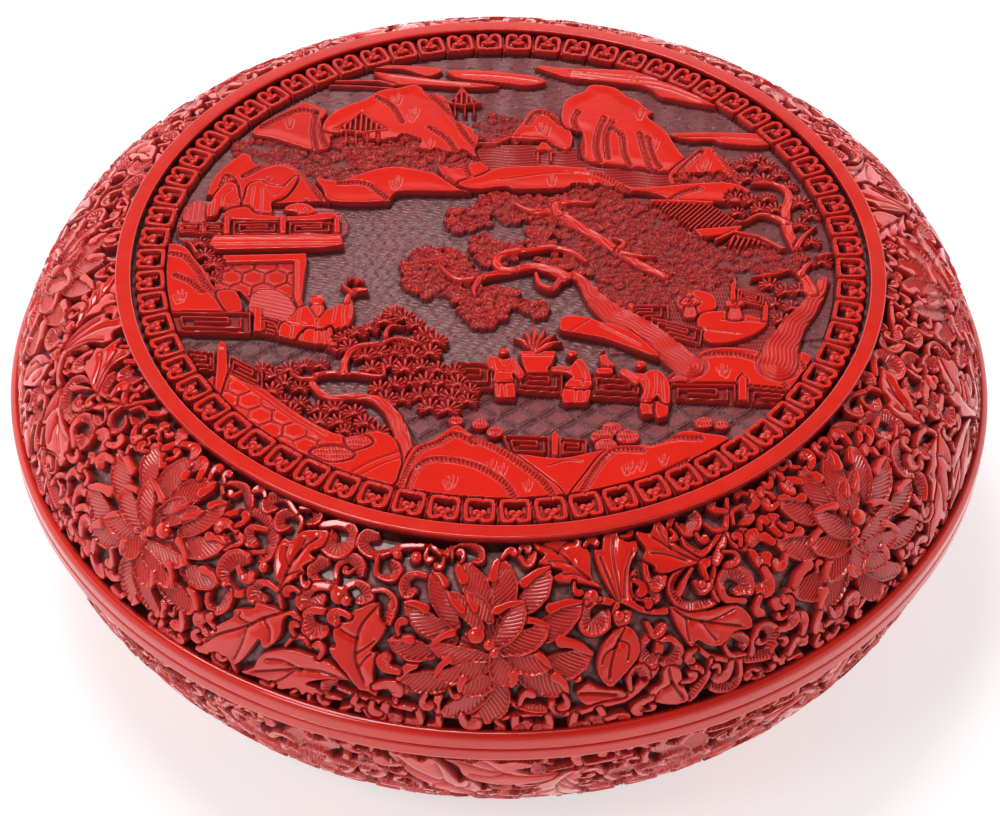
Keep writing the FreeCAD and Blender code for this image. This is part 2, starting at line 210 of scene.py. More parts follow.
def near(x, y, path):
    """For each cell: how far along the path it is, 0 to 1, its signed distance
    from it, and the path's length."""
    best = np.full(x.shape, 1e9, np.float32)
    along = np.zeros(x.shape, np.float32)
    side = np.ones(x.shape, np.float32)
    lengths = np.hypot(*(path[1:] - path[:-1]).T)
    total = max(float(lengths.sum()), 1e-6)
    start = 0.0
    for (ax, ay), (bx, by), length in zip(path[:-1], path[1:], lengths):
        if length < 1e-6:
            continue
        ux, uy = (bx - ax) / length, (by - ay) / length
        dx, dy = x - ax, y - ay
        t = np.clip(dx * ux + dy * uy, 0, length)
        ex, ey = dx - t * ux, dy - t * uy
        d = ex * ex + ey * ey
        closer = d < best
        best = np.where(closer, d, best)
        along = np.where(closer, (start + t) / total, along)
        side = np.where(closer, np.sign(ux * dy - uy * dx), side)
        start += length
    return along, side * np.sqrt(best), total


def inside_polygon(x, y, corners):
    """Signed distance to a closed outline: negative inside."""
    best = np.full(x.shape, 1e9, np.float32)
    within = np.zeros(x.shape, bool)
    ends = np.roll(corners, -1, axis=0)
    for (ax, ay), (bx, by) in zip(corners, ends):
        ux, uy = bx - ax, by - ay
        square = max(ux * ux + uy * uy, 1e-9)
        t = np.clip(((x - ax) * ux + (y - ay) * uy) / square, 0, 1)
        d = (x - ax - t * ux) ** 2 + (y - ay - t * uy) ** 2
        best = np.minimum(best, d)
        if ay != by:
            crosses = ((ay > y) != (by > y)) & (x < (bx - ax) * (y - ay) / (by - ay) + ax)
            within ^= crosses
    return np.where(within, -1, 1) * np.sqrt(best)


def stripes(phase):
    """0 on the ridges and 1 in the grooves of a row of cuts."""
    return 0.5 - 0.5 * np.cos(2 * math.pi * phase)


def rod(panel, path, half_width, level, crown, moat):
    """A rounded strip: a rail, or a line of a fret or a frame."""
    path = np.asarray(path, float)
    spot, x, y = panel.window(path, half_width + moat + 0.5)
    _, side, _ = near(x, y, path)
    aside = np.abs(side).astype(float)
    top = level - crown * np.clip(aside / half_width, 0, 1) ** 2
    panel.lay(spot, aside - half_width, top, moat=moat, level=level)


def knob(panel, place, radius, level, crown):
    """A round button."""
    spot, x, y = panel.window([place], radius + 1.2)
    distance = np.hypot(x - place[0], y - place[1])
    top = level - crown * np.clip(distance / radius, 0, 1) ** 2
    panel.lay(spot, distance - radius, top, level=level)


# ---------------------------------------------------------------- flowers, leaves and scrolls
# Places are pixels of the photograph, on the lid's band beside its front bloom.
bloom_heart = (497, 657)
bloom_count = 8
pixel_mm = 0.34
# steps of a line of sight on its way to the band
trace_steps = 60
# half of a petal or stalk is this share of its width, so that its soft edge still stands
half_share = 0.62
# tries to place a leaflet on ground that is left
leaflet_tries = 9000
# each petal: root, tip, the end of its rolled edge, and its width in pixels
bloom_petals = [
    [(452, 640), (403, 601), (425, 608), 21], [(455, 625), (432, 568), (445, 582), 19],
    [(488, 612), (458, 560), (463, 578), 25], [(505, 612), (500, 555), (493, 576), 24],
    [(520, 612), (550, 565), (524, 582), 22], [(530, 640), (583, 600), (551, 608), 23],
    [(535, 675), (594, 653), (562, 642), 26], [(520, 672), (570, 694), (556, 678), 22],
    [(500, 685), (480, 727), (473, 704), 25], [(490, 688), (437, 718), (438, 698), 19],
    [(455, 680), (394, 682), (413, 665), 22], [(430, 655), (387, 640), (410, 640), 20],
    [(480, 628), (446, 590), (462, 610), 16], [(490, 620), (466, 592), (475, 608), 15],
    [(490, 662), (428, 645), (452, 633), 18], [(487, 668), (432, 678), (448, 660), 18],
    [(495, 680), (458, 695), (463, 680), 17], [(508, 660), (553, 668), (532, 651), 19],
    [(505, 652), (550, 625), (522, 620), 20], [(497, 645), (524, 600), (497, 610), 19]]
# the middle of the bloom: knobs with their radii, and the outline of its cup
bloom_knobs = [(476, 636, 9), (489, 646, 6), (494, 655, 5)]
outer_petals = 12
bloom_cup = [(495, 660), (503, 662), (514, 676), (512, 688), (500, 686), (492, 676)]

# leaves: an outline, then the grooves of its ribs. Strips: a width, then a path.
# Knobs: a place and a radius.
left_leaves = [
    ([(283, 612), (270, 606), (255, 603), (253, 608), (234, 609), (232, 617), (216, 626), (202, 638),
     (194, 650), (213, 657), (222, 656), (230, 667), (243, 660), (256, 643), (259, 640), (262, 648),
     (270, 647), (280, 636), (283, 620), (290, 616), (296, 624), (301, 620), (294, 610)],
     [(284, 612), (262, 619), (245, 627), (215, 636), (198, 648)], [(250, 625), (238, 618), (240, 610)],
     [(262, 620), (268, 630), (268, 645)], [(245, 628), (240, 645), (232, 662)]),
    ([(240, 672), (252, 668), (258, 657), (270, 651), (290, 650), (308, 655), (330, 664), (345, 676),
     (350, 684), (328, 680), (306, 684), (318, 690), (322, 697), (303, 696), (291, 690), (278, 690),
     (268, 682), (252, 677)], [(348, 683), (320, 673), (290, 671), (245, 673)],
     [(300, 672), (282, 662), (262, 660)], [(292, 673), (280, 681), (270, 684)]),
    ([(378, 602), (380, 618), (386, 628), (379, 641), (371, 651), (378, 655), (373, 668), (374, 684),
     (377, 697), (366, 692), (358, 690), (345, 674), (332, 658), (328, 648), (335, 647), (332, 636),
     (334, 624), (345, 622), (351, 612), (364, 606)], [(377, 606), (361, 625), (355, 645), (355, 664),
     (366, 690)], [(356, 640), (345, 634), (337, 628)], [(355, 655), (366, 648), (376, 640)],
     [(358, 668), (366, 658), (372, 654)]),
    ([(276, 580), (273, 566), (276, 550), (284, 537), (291, 540), (303, 530), (320, 529), (329, 531),
     (323, 545), (310, 552), (315, 558), (303, 566), (304, 573), (290, 581), (286, 590)],
     [(281, 584), (290, 562), (305, 545), (322, 534)], [(288, 566), (284, 556), (287, 544)],
     [(294, 558), (300, 548), (306, 536)], [(284, 575), (294, 572), (302, 569)])]
left_strips = [
    [10, (207, 524), (225, 515), (245, 510), (262, 515), (271, 529), (272, 546), (262, 557), (260, 566)],
    [7, (281, 608), (279, 592), (281, 582)],
    [6, (322, 684), (340, 690), (360, 698), (385, 704), (420, 712)],
    [9, (335, 583), (337, 567), (347, 557), (358, 562), (360, 573)],
    [9, (334, 584), (318, 581), (311, 572), (317, 563), (326, 561)],
    [12, (334, 588), (318, 586), (306, 592), (303, 602), (312, 605), (320, 598)],
    [10, (343, 588), (355, 582), (365, 589), (366, 598), (359, 600)],
    [12, (328, 612), (312, 611), (306, 621), (312, 632), (322, 632)],
    [8, (373, 590), (385, 590), (393, 600), (390, 612), (388, 622)],
    [13, (322, 524), (340, 522), (352, 528), (350, 541), (338, 549), (328, 543), (331, 535)],
    [9, (430, 545), (405, 545), (388, 550), (372, 552), (362, 543), (366, 534), (376, 534)],
    [8, (377, 557), (376, 573), (390, 577), (397, 569), (392, 562)],
    [9, (430, 576), (415, 573), (405, 580), (406, 592), (413, 590)],
    [8, (299, 532), (301, 518), (290, 511), (280, 515), (279, 525), (287, 526)],
    [9, (300, 507), (313, 507), (317, 516), (309, 521)],
    [9, (296, 512), (285, 497), (270, 497), (267, 506), (274, 507)],
    [9, (266, 529), (252, 527), (247, 537), (253, 544)],
    [7, (264, 551), (242, 552), (226, 547), (224, 536)], [8, (230, 548), (240, 541), (236, 534)],
    [12, (246, 592), (236, 594), (224, 583), (222, 570), (231, 559), (245, 558)],
    [10, (276, 590), (265, 583), (254, 586), (253, 597), (262, 600)],
    [9, (207, 592), (206, 604), (214, 612), (223, 605), (228, 592)],
    [6, (285, 646), (292, 639), (302, 640), (308, 648)],
    [8, (222, 493), (222, 484), (234, 482), (245, 488), (250, 505)],
    [8, (340, 700), (326, 697), (325, 687), (333, 683)], [8, (430, 545), (444, 552), (452, 547)],
    [6, (452, 557), (455, 547), (467, 543), (480, 548), (481, 558), (472, 560)]]
left_knobs = [(397, 553, 6), (416, 556, 7), (338, 595, 10), (262, 567, 6), (345, 601, 6), (390, 605, 4)]
right_leaves = [
    ([(534, 540), (555, 535), (577, 537), (590, 552), (592, 574), (603, 588), (583, 583), (560, 582),
     (553, 576), (563, 570), (549, 566), (538, 562), (545, 554), (538, 550)],
     [(538, 541), (560, 552), (580, 570), (602, 587)], [(558, 551), (566, 542), (578, 540)],
     [(572, 562), (560, 560), (545, 561)], [(590, 579), (575, 573), (560, 574)]),
    ([(617, 600), (606, 584), (597, 564), (594, 549), (602, 548), (603, 536), (612, 526), (619, 527),
     (625, 540), (636, 540), (638, 550), (631, 565), (630, 590), (637, 603), (655, 609), (668, 607),
     (668, 615), (645, 614), (628, 606)], [(619, 601), (608, 575), (599, 552)],
     [(623, 602), (617, 575), (613, 550), (614, 530)], [(625, 598), (626, 570), (634, 546)]),
    ([(635, 530), (650, 532), (655, 520), (664, 524), (673, 540), (690, 552), (702, 560), (690, 566),
     (680, 568), (668, 573), (656, 571), (654, 565), (642, 558), (646, 549), (640, 540)],
     [(700, 561), (680, 552), (660, 540), (648, 533)], [(688, 560), (665, 553), (648, 552)],
     [(672, 547), (663, 535), (658, 524)]),
    ([(671, 606), (690, 613), (712, 610), (738, 605), (752, 617), (752, 629), (736, 632), (722, 646),
     (708, 646), (698, 641), (692, 648), (684, 638), (676, 624)], [(673, 608), (690, 619), (718, 624),
     (748, 627)], [(688, 619), (689, 632), (692, 645)], [(704, 622), (712, 634), (720, 643)],
     [(712, 622), (728, 614), (738, 608)]),
    ([(627, 626), (612, 634), (602, 648), (597, 664), (600, 679), (611, 688), (622, 678), (631, 668),
     (640, 655), (640, 642), (636, 632)], [(626, 628), (618, 645), (612, 665), (610, 684)],
     [(620, 641), (630, 646), (628, 664)], [(617, 648), (606, 655), (602, 668)]),
    ([(664, 670), (680, 668), (684, 684), (690, 700), (676, 706), (655, 703), (650, 692), (662, 684)],
     [(670, 670), (674, 685), (686, 701)], [(674, 686), (662, 692), (656, 700)]),
    ([(576, 694), (590, 684), (600, 689), (620, 690), (627, 697), (602, 702), (586, 706)],
     [(580, 695), (600, 695), (622, 697)])]
right_strips = [
    [8, (722, 556), (700, 560), (683, 567), (672, 585), (679, 601), (695, 608), (714, 602)],
    [8, (490, 722), (530, 716), (575, 715), (600, 707), (625, 700), (640, 688), (655, 670), (660, 650),
     (662, 630)],
    [12, (613, 602), (596, 600), (586, 611), (588, 627), (600, 626), (606, 615)],
    [8, (600, 599), (590, 594), (588, 602)], [9, (619, 602), (616, 612), (622, 622), (628, 614)],
    [6, (636, 602), (639, 592), (650, 590), (657, 597), (650, 603)],
    [6, (633, 597), (631, 582), (636, 571)], [10, (645, 563), (648, 577), (656, 585), (663, 577)],
    [6, (716, 565), (714, 585), (720, 600)],
    [11, (745, 601), (727, 599), (722, 582), (731, 572), (744, 576), (748, 588), (740, 592)],
    [6, (693, 567), (686, 580), (680, 594)], [9, (696, 582), (703, 591), (710, 582)],
    [8, (727, 498), (727, 520), (722, 545), (717, 562)],
    [7, (722, 530), (712, 545), (702, 552), (690, 546), (684, 538)],
    [6, (699, 518), (713, 528), (722, 528)],
    [11, (669, 526), (674, 513), (688, 508), (696, 518), (689, 528), (680, 523)],
    [7, (734, 523), (733, 511), (744, 506), (751, 516), (743, 522)],
    [7, (728, 533), (735, 545), (750, 547), (752, 535), (742, 530)],
    [6, (724, 551), (735, 552), (738, 560), (727, 565)],
    [10, (660, 638), (649, 638), (643, 650), (649, 662), (658, 660)],
    [9, (662, 640), (673, 640), (680, 650), (675, 663), (665, 663)],
    [9, (648, 624), (655, 635), (664, 627)], [8, (696, 646), (712, 658), (740, 660), (775, 655)],
    [8, (741, 660), (741, 678), (731, 689), (713, 689)],
    [7, (712, 660), (709, 676), (699, 690), (690, 701)], [7, (686, 657), (694, 667), (703, 672)],
    [7, (746, 655), (732, 656), (727, 646), (735, 636), (746, 641), (744, 648)],
    [9, (752, 655), (756, 636), (766, 627), (776, 634), (772, 648)],
    [8, (631, 690), (630, 678), (640, 670), (647, 678)], [7, (505, 700), (520, 708), (545, 711)],
    [8, (555, 697), (552, 706), (560, 713)], [8, (513, 547), (522, 558), (529, 563), (534, 552)],
    [7, (765, 672), (752, 672), (748, 680)]]
right_knobs = [(593, 595, 7), (620, 616, 6), (750, 679, 6), (703, 584, 5), (578, 680, 5)]


def petal(band, root, tip, roll, width, level):
    """A pointed petal: hatched inside, a thin rim on one edge, and the other
    edge rolled over at the tip."""
    root, tip, roll = (np.array(p, float) for p in (root, tip, roll))
    axis = tip - root
    length = float(np.hypot(*axis))
    across = np.array([-axis[1], axis[0]]) / length
    way = 1.0 if float((roll - root) @ across) > 0 else -1.0
    path = smooth_path([root, root + axis * 0.5 - across * way * length * 0.05, tip], 8)
    spot, x, y = band.window(path, width + 1.5)
    if x.size == 0:
        return
    along, side, total = near(x, y, path)
    half = width * half_share * np.interp(along, (0, 0.2, 0.5, 0.8, 1), (0.5, 0.86, 1, 0.72, 0.08))
    outside = np.abs(side) - half
    rim = ease(-outside, 0.95, 0.55) * (side * way < 0)
    sunk = ease(-outside, 0.15, 0.6) * (1 - rim) * ease(along, 0.93, 0.75)
    hatch = stripes((along * total * 0.75 + way * side * 0.65) / 1.25)
    top = level - (0.35 + 0.9 * (1 - along) + 0.5 * hatch) * sunk
    band.lay(spot, outside, top, level=level, moat=0.8, moat_depth=1.9)
    # the rolled edge, which ends in a round
    edge = smooth_path([tip - axis * 0.04, tip * 0.5 + roll * 0.5 + across * way * width * 0.08, roll], 7)
    spot, x, y = band.window(edge, width)
    along, side, _ = near(x, y, edge)
    half = width * np.interp(along, (0, 0.35, 0.7, 1), (0.10, 0.19, 0.20, 0.26))
    outside = np.abs(side) - half
    top = -0.05 - 0.25 * np.clip(np.abs(side) / np.maximum(half, 0.1), 0, 1) ** 3
    band.lay(spot, outside, top, level=level, moat=0.45)


def saucer(band, place, radius, level):
    """The fluted ground that the petals of a bloom stand on."""
    spot, x, y = band.window([place], radius + 1.0)
    dx, dy = x - place[0], y - place[1]
    flutes = stripes(np.arctan2(dy, dx) * 44 / (2 * math.pi))
    band.lay(spot, np.hypot(dx, dy) - radius, level - 0.7 * flutes, level, moat=0)


def leaf(band, outline, ribs, level):
    """A lobed leaf with sunk ribs, each lobe a little dished."""
    edge = smooth_path(outline, 3, closed=True)
    spot, x, y = band.window(edge, 1.5)
    outside = inside_polygon(x, y, edge)
    top = level - 0.15 * (1 - ease(-outside, 0, 0.4)) - 0.15 * ease(-outside, 0.6, 4.0)
    for number, rib in enumerate(ribs):
        path = smooth_path(rib, 5)
        along, side, _ = near(x, y, path)
        reach = 2.0 if number else 2.6
        dish = np.clip(1 - np.abs(side) / reach, 0, 1)
        groove = np.clip(1 - np.abs(side) / (0.5 if number else 0.7), 0, 1)
        top = top - (0.55 * dish + (0.8 if number else 1.1) * groove) * ease(1 - along, 0, 0.12)
    band.lay(spot, outside, top, level=level, moat=1.0, moat_depth=2.2)


def strip(band, path, width, level):
    """A scrolling stalk that widens to its end: flat on the outside of its
    bend, and fluted where it turns inward."""
    path = smooth_path(path, 6)
    spot, x, y = band.window(path, width + 1.2)
    along, side, total = near(x, y, path)
    steps = np.diff(path, axis=0)
    bend = float((steps[:-1, 0] * steps[1:, 1] - steps[:-1, 1] * steps[1:, 0]).sum())
    way = 1.0 if bend > 0 else -1.0
    curled = min(abs(bend) / 1.2, 1.0) if total < 45 else 0.0
    half = width * half_share * np.interp(along, (0, 0.35, 0.7, 0.9, 1.0),
                                    (0.55, 0.66, 0.95 + 0.35 * curled, 1.0 + 0.35 * curled, 0.9))
    outside = np.abs(side) - half
    inward = half + side * way
    drop = curled * ease(along, 0.3, 0.55) * np.clip((inward - 1.0) / np.maximum(2 * half - 1.0, 0.4), 0, 1)
    flutes = stripes(along * total / 1.25) * ease(drop, 0.0, 0.2)
    top = level - 0.1 * (side / np.maximum(half, 0.1)) ** 4 - 1.7 * drop ** 0.8 - 0.7 * flutes
    band.lay(spot, outside, top, level=level, moat_depth=2.2)


def comma(band, base, heading, length, twist, width, level):
    """A comma-shaped leaflet that starts at a place and rolls up."""
    steps = 8
    place = np.array(base, float)
    points = [place.copy()]
    for k in range(steps):
        t = (k + 0.5) / steps
        heading += twist * (0.3 + 1.8 * t ** 1.5) / steps
        place = place + length / steps * (1 - 0.35 * t) * np.array([math.cos(heading), math.sin(heading)])
        points.append(place.copy())
    strip(band, points[::2], width, level)


def fill_ground(band, clear, size, level, margin, rng):
    """Grows leaflets from carved edges into ground that is still empty."""
    empty = -ground_depth + 1.0
    for _ in range(leaflet_tries):
        u = rng.uniform(band.low[0], band.low[0] + band.period)
        v = rng.uniform(margin, band.width - margin)
        spot, x, y = band.window([(u, v)], clear * 2.4)
        ring = np.hypot(x - u, y - v)
        here = band.height[spot]
        if (here[ring < clear] > empty).any():
            continue
        carved = np.where(here > empty + 1.0, ring, 1e6)
        index = np.unravel_index(carved.argmin(), carved.shape)
        heading = rng.uniform(0, 2 * math.pi)
        start = np.array([u, v]) - clear * np.array([math.cos(heading), math.sin(heading)])
        if carved[index] < 1e5:
            start = np.array([x[index], y[index]])
            heading = math.atan2(v - start[1], u - start[0])
        twist = rng.choice((-1, 1)) * rng.uniform(1.8, 3.2)
        stretch = size * rng.uniform(0.8, 1.25)
        comma(band, start, heading - twist * 0.15, stretch, twist, stretch * rng.uniform(0.33, 0.42),
              level + rng.uniform(-0.4, 0.1))


# ---------------------------------------------------------------- the two carved bands
class Band(Panel):
    """A band round the box: u runs round it at a middle radius, v up from the lip."""

    def __init__(self, center, arc, side, first_angle, last_angle, cell):
        self.center, self.arc, self.side = center, arc, side
        self.first_angle = first_angle
        self.middle_radius = center + arc * math.cos((first_angle + last_angle) / 2)
        self.width = arc * (last_angle - first_angle)
        around = 2 * math.pi * self.middle_radius
        super().__init__((0, 0), (around, self.width), cell, loops=True)

    def from_photo(self, points):
        """Pixels of the photograph, carried onto the uncarved band."""
        rays, place = photo_rays(points)
        rays /= np.linalg.norm(rays, axis=1)[:, None]
        spots = np.repeat(place[None], len(rays), 0)
        for _ in range(trace_steps):
            out = np.hypot(spots[:, 0], spots[:, 1]) - self.center
            spots = spots + rays * (np.hypot(out, spots[:, 2] - seam_z) - self.arc)[:, None]
        out = np.hypot(spots[:, 0], spots[:, 1]) - self.center
        lift = np.arctan2(self.side * (spots[:, 2] - seam_z), out)
        angle = np.arctan2(spots[:, 1], spots[:, 0]) % (2 * math.pi)
        return np.stack([angle * self.middle_radius, (lift - self.first_angle) * self.arc], 1)

    def surface(self, columns, heights):
        """Points of the carved surface for a run of columns, in metres."""
        angle = (self.low[0] + columns * self.cell_x) / self.middle_radius
        lift = self.first_angle + np.arange(self.rows) * self.cell_y / self.arc
        depth = self.arc + heights
        radius = self.center + depth * np.cos(lift)[:, None]
        z = seam_z + self.side * depth * np.sin(lift)[:, None]
        return np.stack([radius * np.cos(angle), radius * np.sin(angle), z], -1) * MM


def carve_bands():
    """The lid's band with eight blooms, leaves and scrolls, as traced beside the
    front bloom, and the base's band with the same scroll half a step on."""
    last = math.acos((rim_radius - shoulder_center) / shoulder_arc)
    lid = Band(shoulder_center, shoulder_arc, 1, math.asin(lip_height / shoulder_arc), last, band_cell)
    dress_band(lid, lid.from_photo, 0.0, np.random.default_rng(7))
    last = math.asin((seam_z - coat_foot_z) / bowl_arc)
    base = Band(bowl_center, bowl_arc, -1, math.asin(lip_height / bowl_arc), last, base_cell)
    grow = np.array([base.middle_radius / lid.middle_radius, base.width / lid.width])
    dress_band(base, lambda points: lid.from_photo(points) * grow, 0.5, np.random.default_rng(11))
    return lid, base


def dress_band(band, trace, step_on, rng):
    """Draws the stalks, the leaves and the blooms of one band, and fills what
    is left with leaflets. Every second sector and bloom is of the other kind."""
    spacing = 2 * math.pi * band.middle_radius / bloom_count
    heart = trace([bloom_heart])[0]
    for k in range(bloom_count):
        shift = np.array([(k - k % 2 + step_on) * spacing, 0.0])
        leaves, strips, knobs = ((left_leaves, left_strips, left_knobs),
                                 (right_leaves, right_strips, right_knobs))[k % 2]
        for width, *path in strips:
            strip(band, trace(path) + shift, width * pixel_mm, rng.uniform(-0.5, -0.05))
        for outline, *ribs in leaves:
            grooves = [trace(rib) + shift for rib in ribs]
            leaf(band, trace(outline) + shift, grooves, rng.uniform(-0.35, -0.05))
        for x, y, radius in knobs:
            knob(band, trace([(x, y)])[0] + shift, radius * pixel_mm, -0.2, 0.9)
    for k in range(bloom_count):
        shift = np.array([(k + step_on) * spacing, 0.0])
        mirror = np.array([-1.0 if k % 2 else 1.0, 1.0])

        def put(points):
            return (trace(points) - heart) * mirror + heart + shift

        saucer(band, put([bloom_heart])[0], 13.5, -2.1)
        for number, (root, tip, roll, width) in enumerate(bloom_petals):
            root, tip, roll = put([root, tip, roll])
            petal(band, root, tip, roll, width * pixel_mm, -0.55 if number < outer_petals else -0.2)
        cup = put(bloom_cup)
        petal(band, cup[0], cup[3], cup[2], 6.5, -0.1)
        for x, y, radius in bloom_knobs:
            knob(band, put([(x, y)])[0], radius * pixel_mm, -0.1, 0.9)
    fill_ground(band, clear=2.3, size=9.5, level=-0.3, margin=1.0, rng=rng)
    fill_ground(band, clear=1.5, size=6.5, level=-0.6, margin=0.6, rng=rng)


# ---------------------------------------------------------------- the lid's picture
# the border of small cells, and the picture inside it
cell_count = 68
border_outer = 137.2
border_inner = 126.2
picture_radius = 125.6
fret_pitch = 2.2
pixels_per_mm = 2.65


def waves(x, y):
    """Fine rows of water lines."""
    sway = 0.34 * np.sin(2 * math.pi * x / 5.3 + 2.1 * np.sin(y * 0.61) + 1.7 * np.sin(x * 0.13))
    return 0.30 * np.abs(np.sin(math.pi * (y + sway) / 1.55))


def sky_lines(x, y):
    """Level lines with small dark lozenges set among them."""
    row = np.round(y / 6.2)
    dx = np.abs(x + 4.4 * (row % 2) - 8.8 * np.round((x + 4.4 * (row % 2)) / 8.8))
    mark = ease(dx / 1.5 + np.abs(y - 6.2 * row) / 1.0, 1.2, 0.6)
    return 0.5 * stripes(y / 1.5 + 0.2 * np.sin(x / 2.1)) + 0.3 * mark


def lozenges(x, y):
    """Paving of nested lozenges."""
    rings = np.abs(np.abs((x / 7.0) % 2.0 - 1.0) + np.abs((y / 5.6) % 2.0 - 1.0) - 1.0)
    weave = 0.3 * stripes((x + y) / 1.3) * stripes((x - y) / 1.3)
    return 0.9 * ease(np.abs(rings - 0.10), 0.09, 0.04) + 0.5 * ease(np.abs(rings - 0.34), 0.08, 0.03) + weave


def stones(x, y):
    """Six-sided paving stones: grooves where two are equally near."""
    first = np.full(x.shape, 1e9, np.float32)
    second = first.copy()
    for shift in (0.0, 0.5):
        for lean in (0, 1):
            cx = (np.floor(x / 8.4 - shift) + lean + shift) * 8.4
            cy = (np.round(y / 14.6 - shift) + shift) * 14.6
            d = np.hypot(x - cx, y - cy)
            second = np.minimum(second, np.maximum(first, d))
            first = np.minimum(first, d)
    return 0.9 * ease(second - first, 0.9, 0.25) + 0.35 * ease(np.abs(second - first - 1.9), 0.35, 0.1)


def dashes(x, y):
    """Rows of short upright cuts, as on clipped hedges."""
    row = np.floor(y / 2.3)
    return 0.75 * stripes(x / 1.05 + 0.37 * row) * ease(np.abs((y / 2.3) % 1.0 - 0.5), 0.5, 0.2)


def tiles(lean):
    """Ribs of a tiled roof."""
    return lambda x, y: 1.9 * ease(stripes((x + lean * y) / 2.1), 0.25, 0.8)


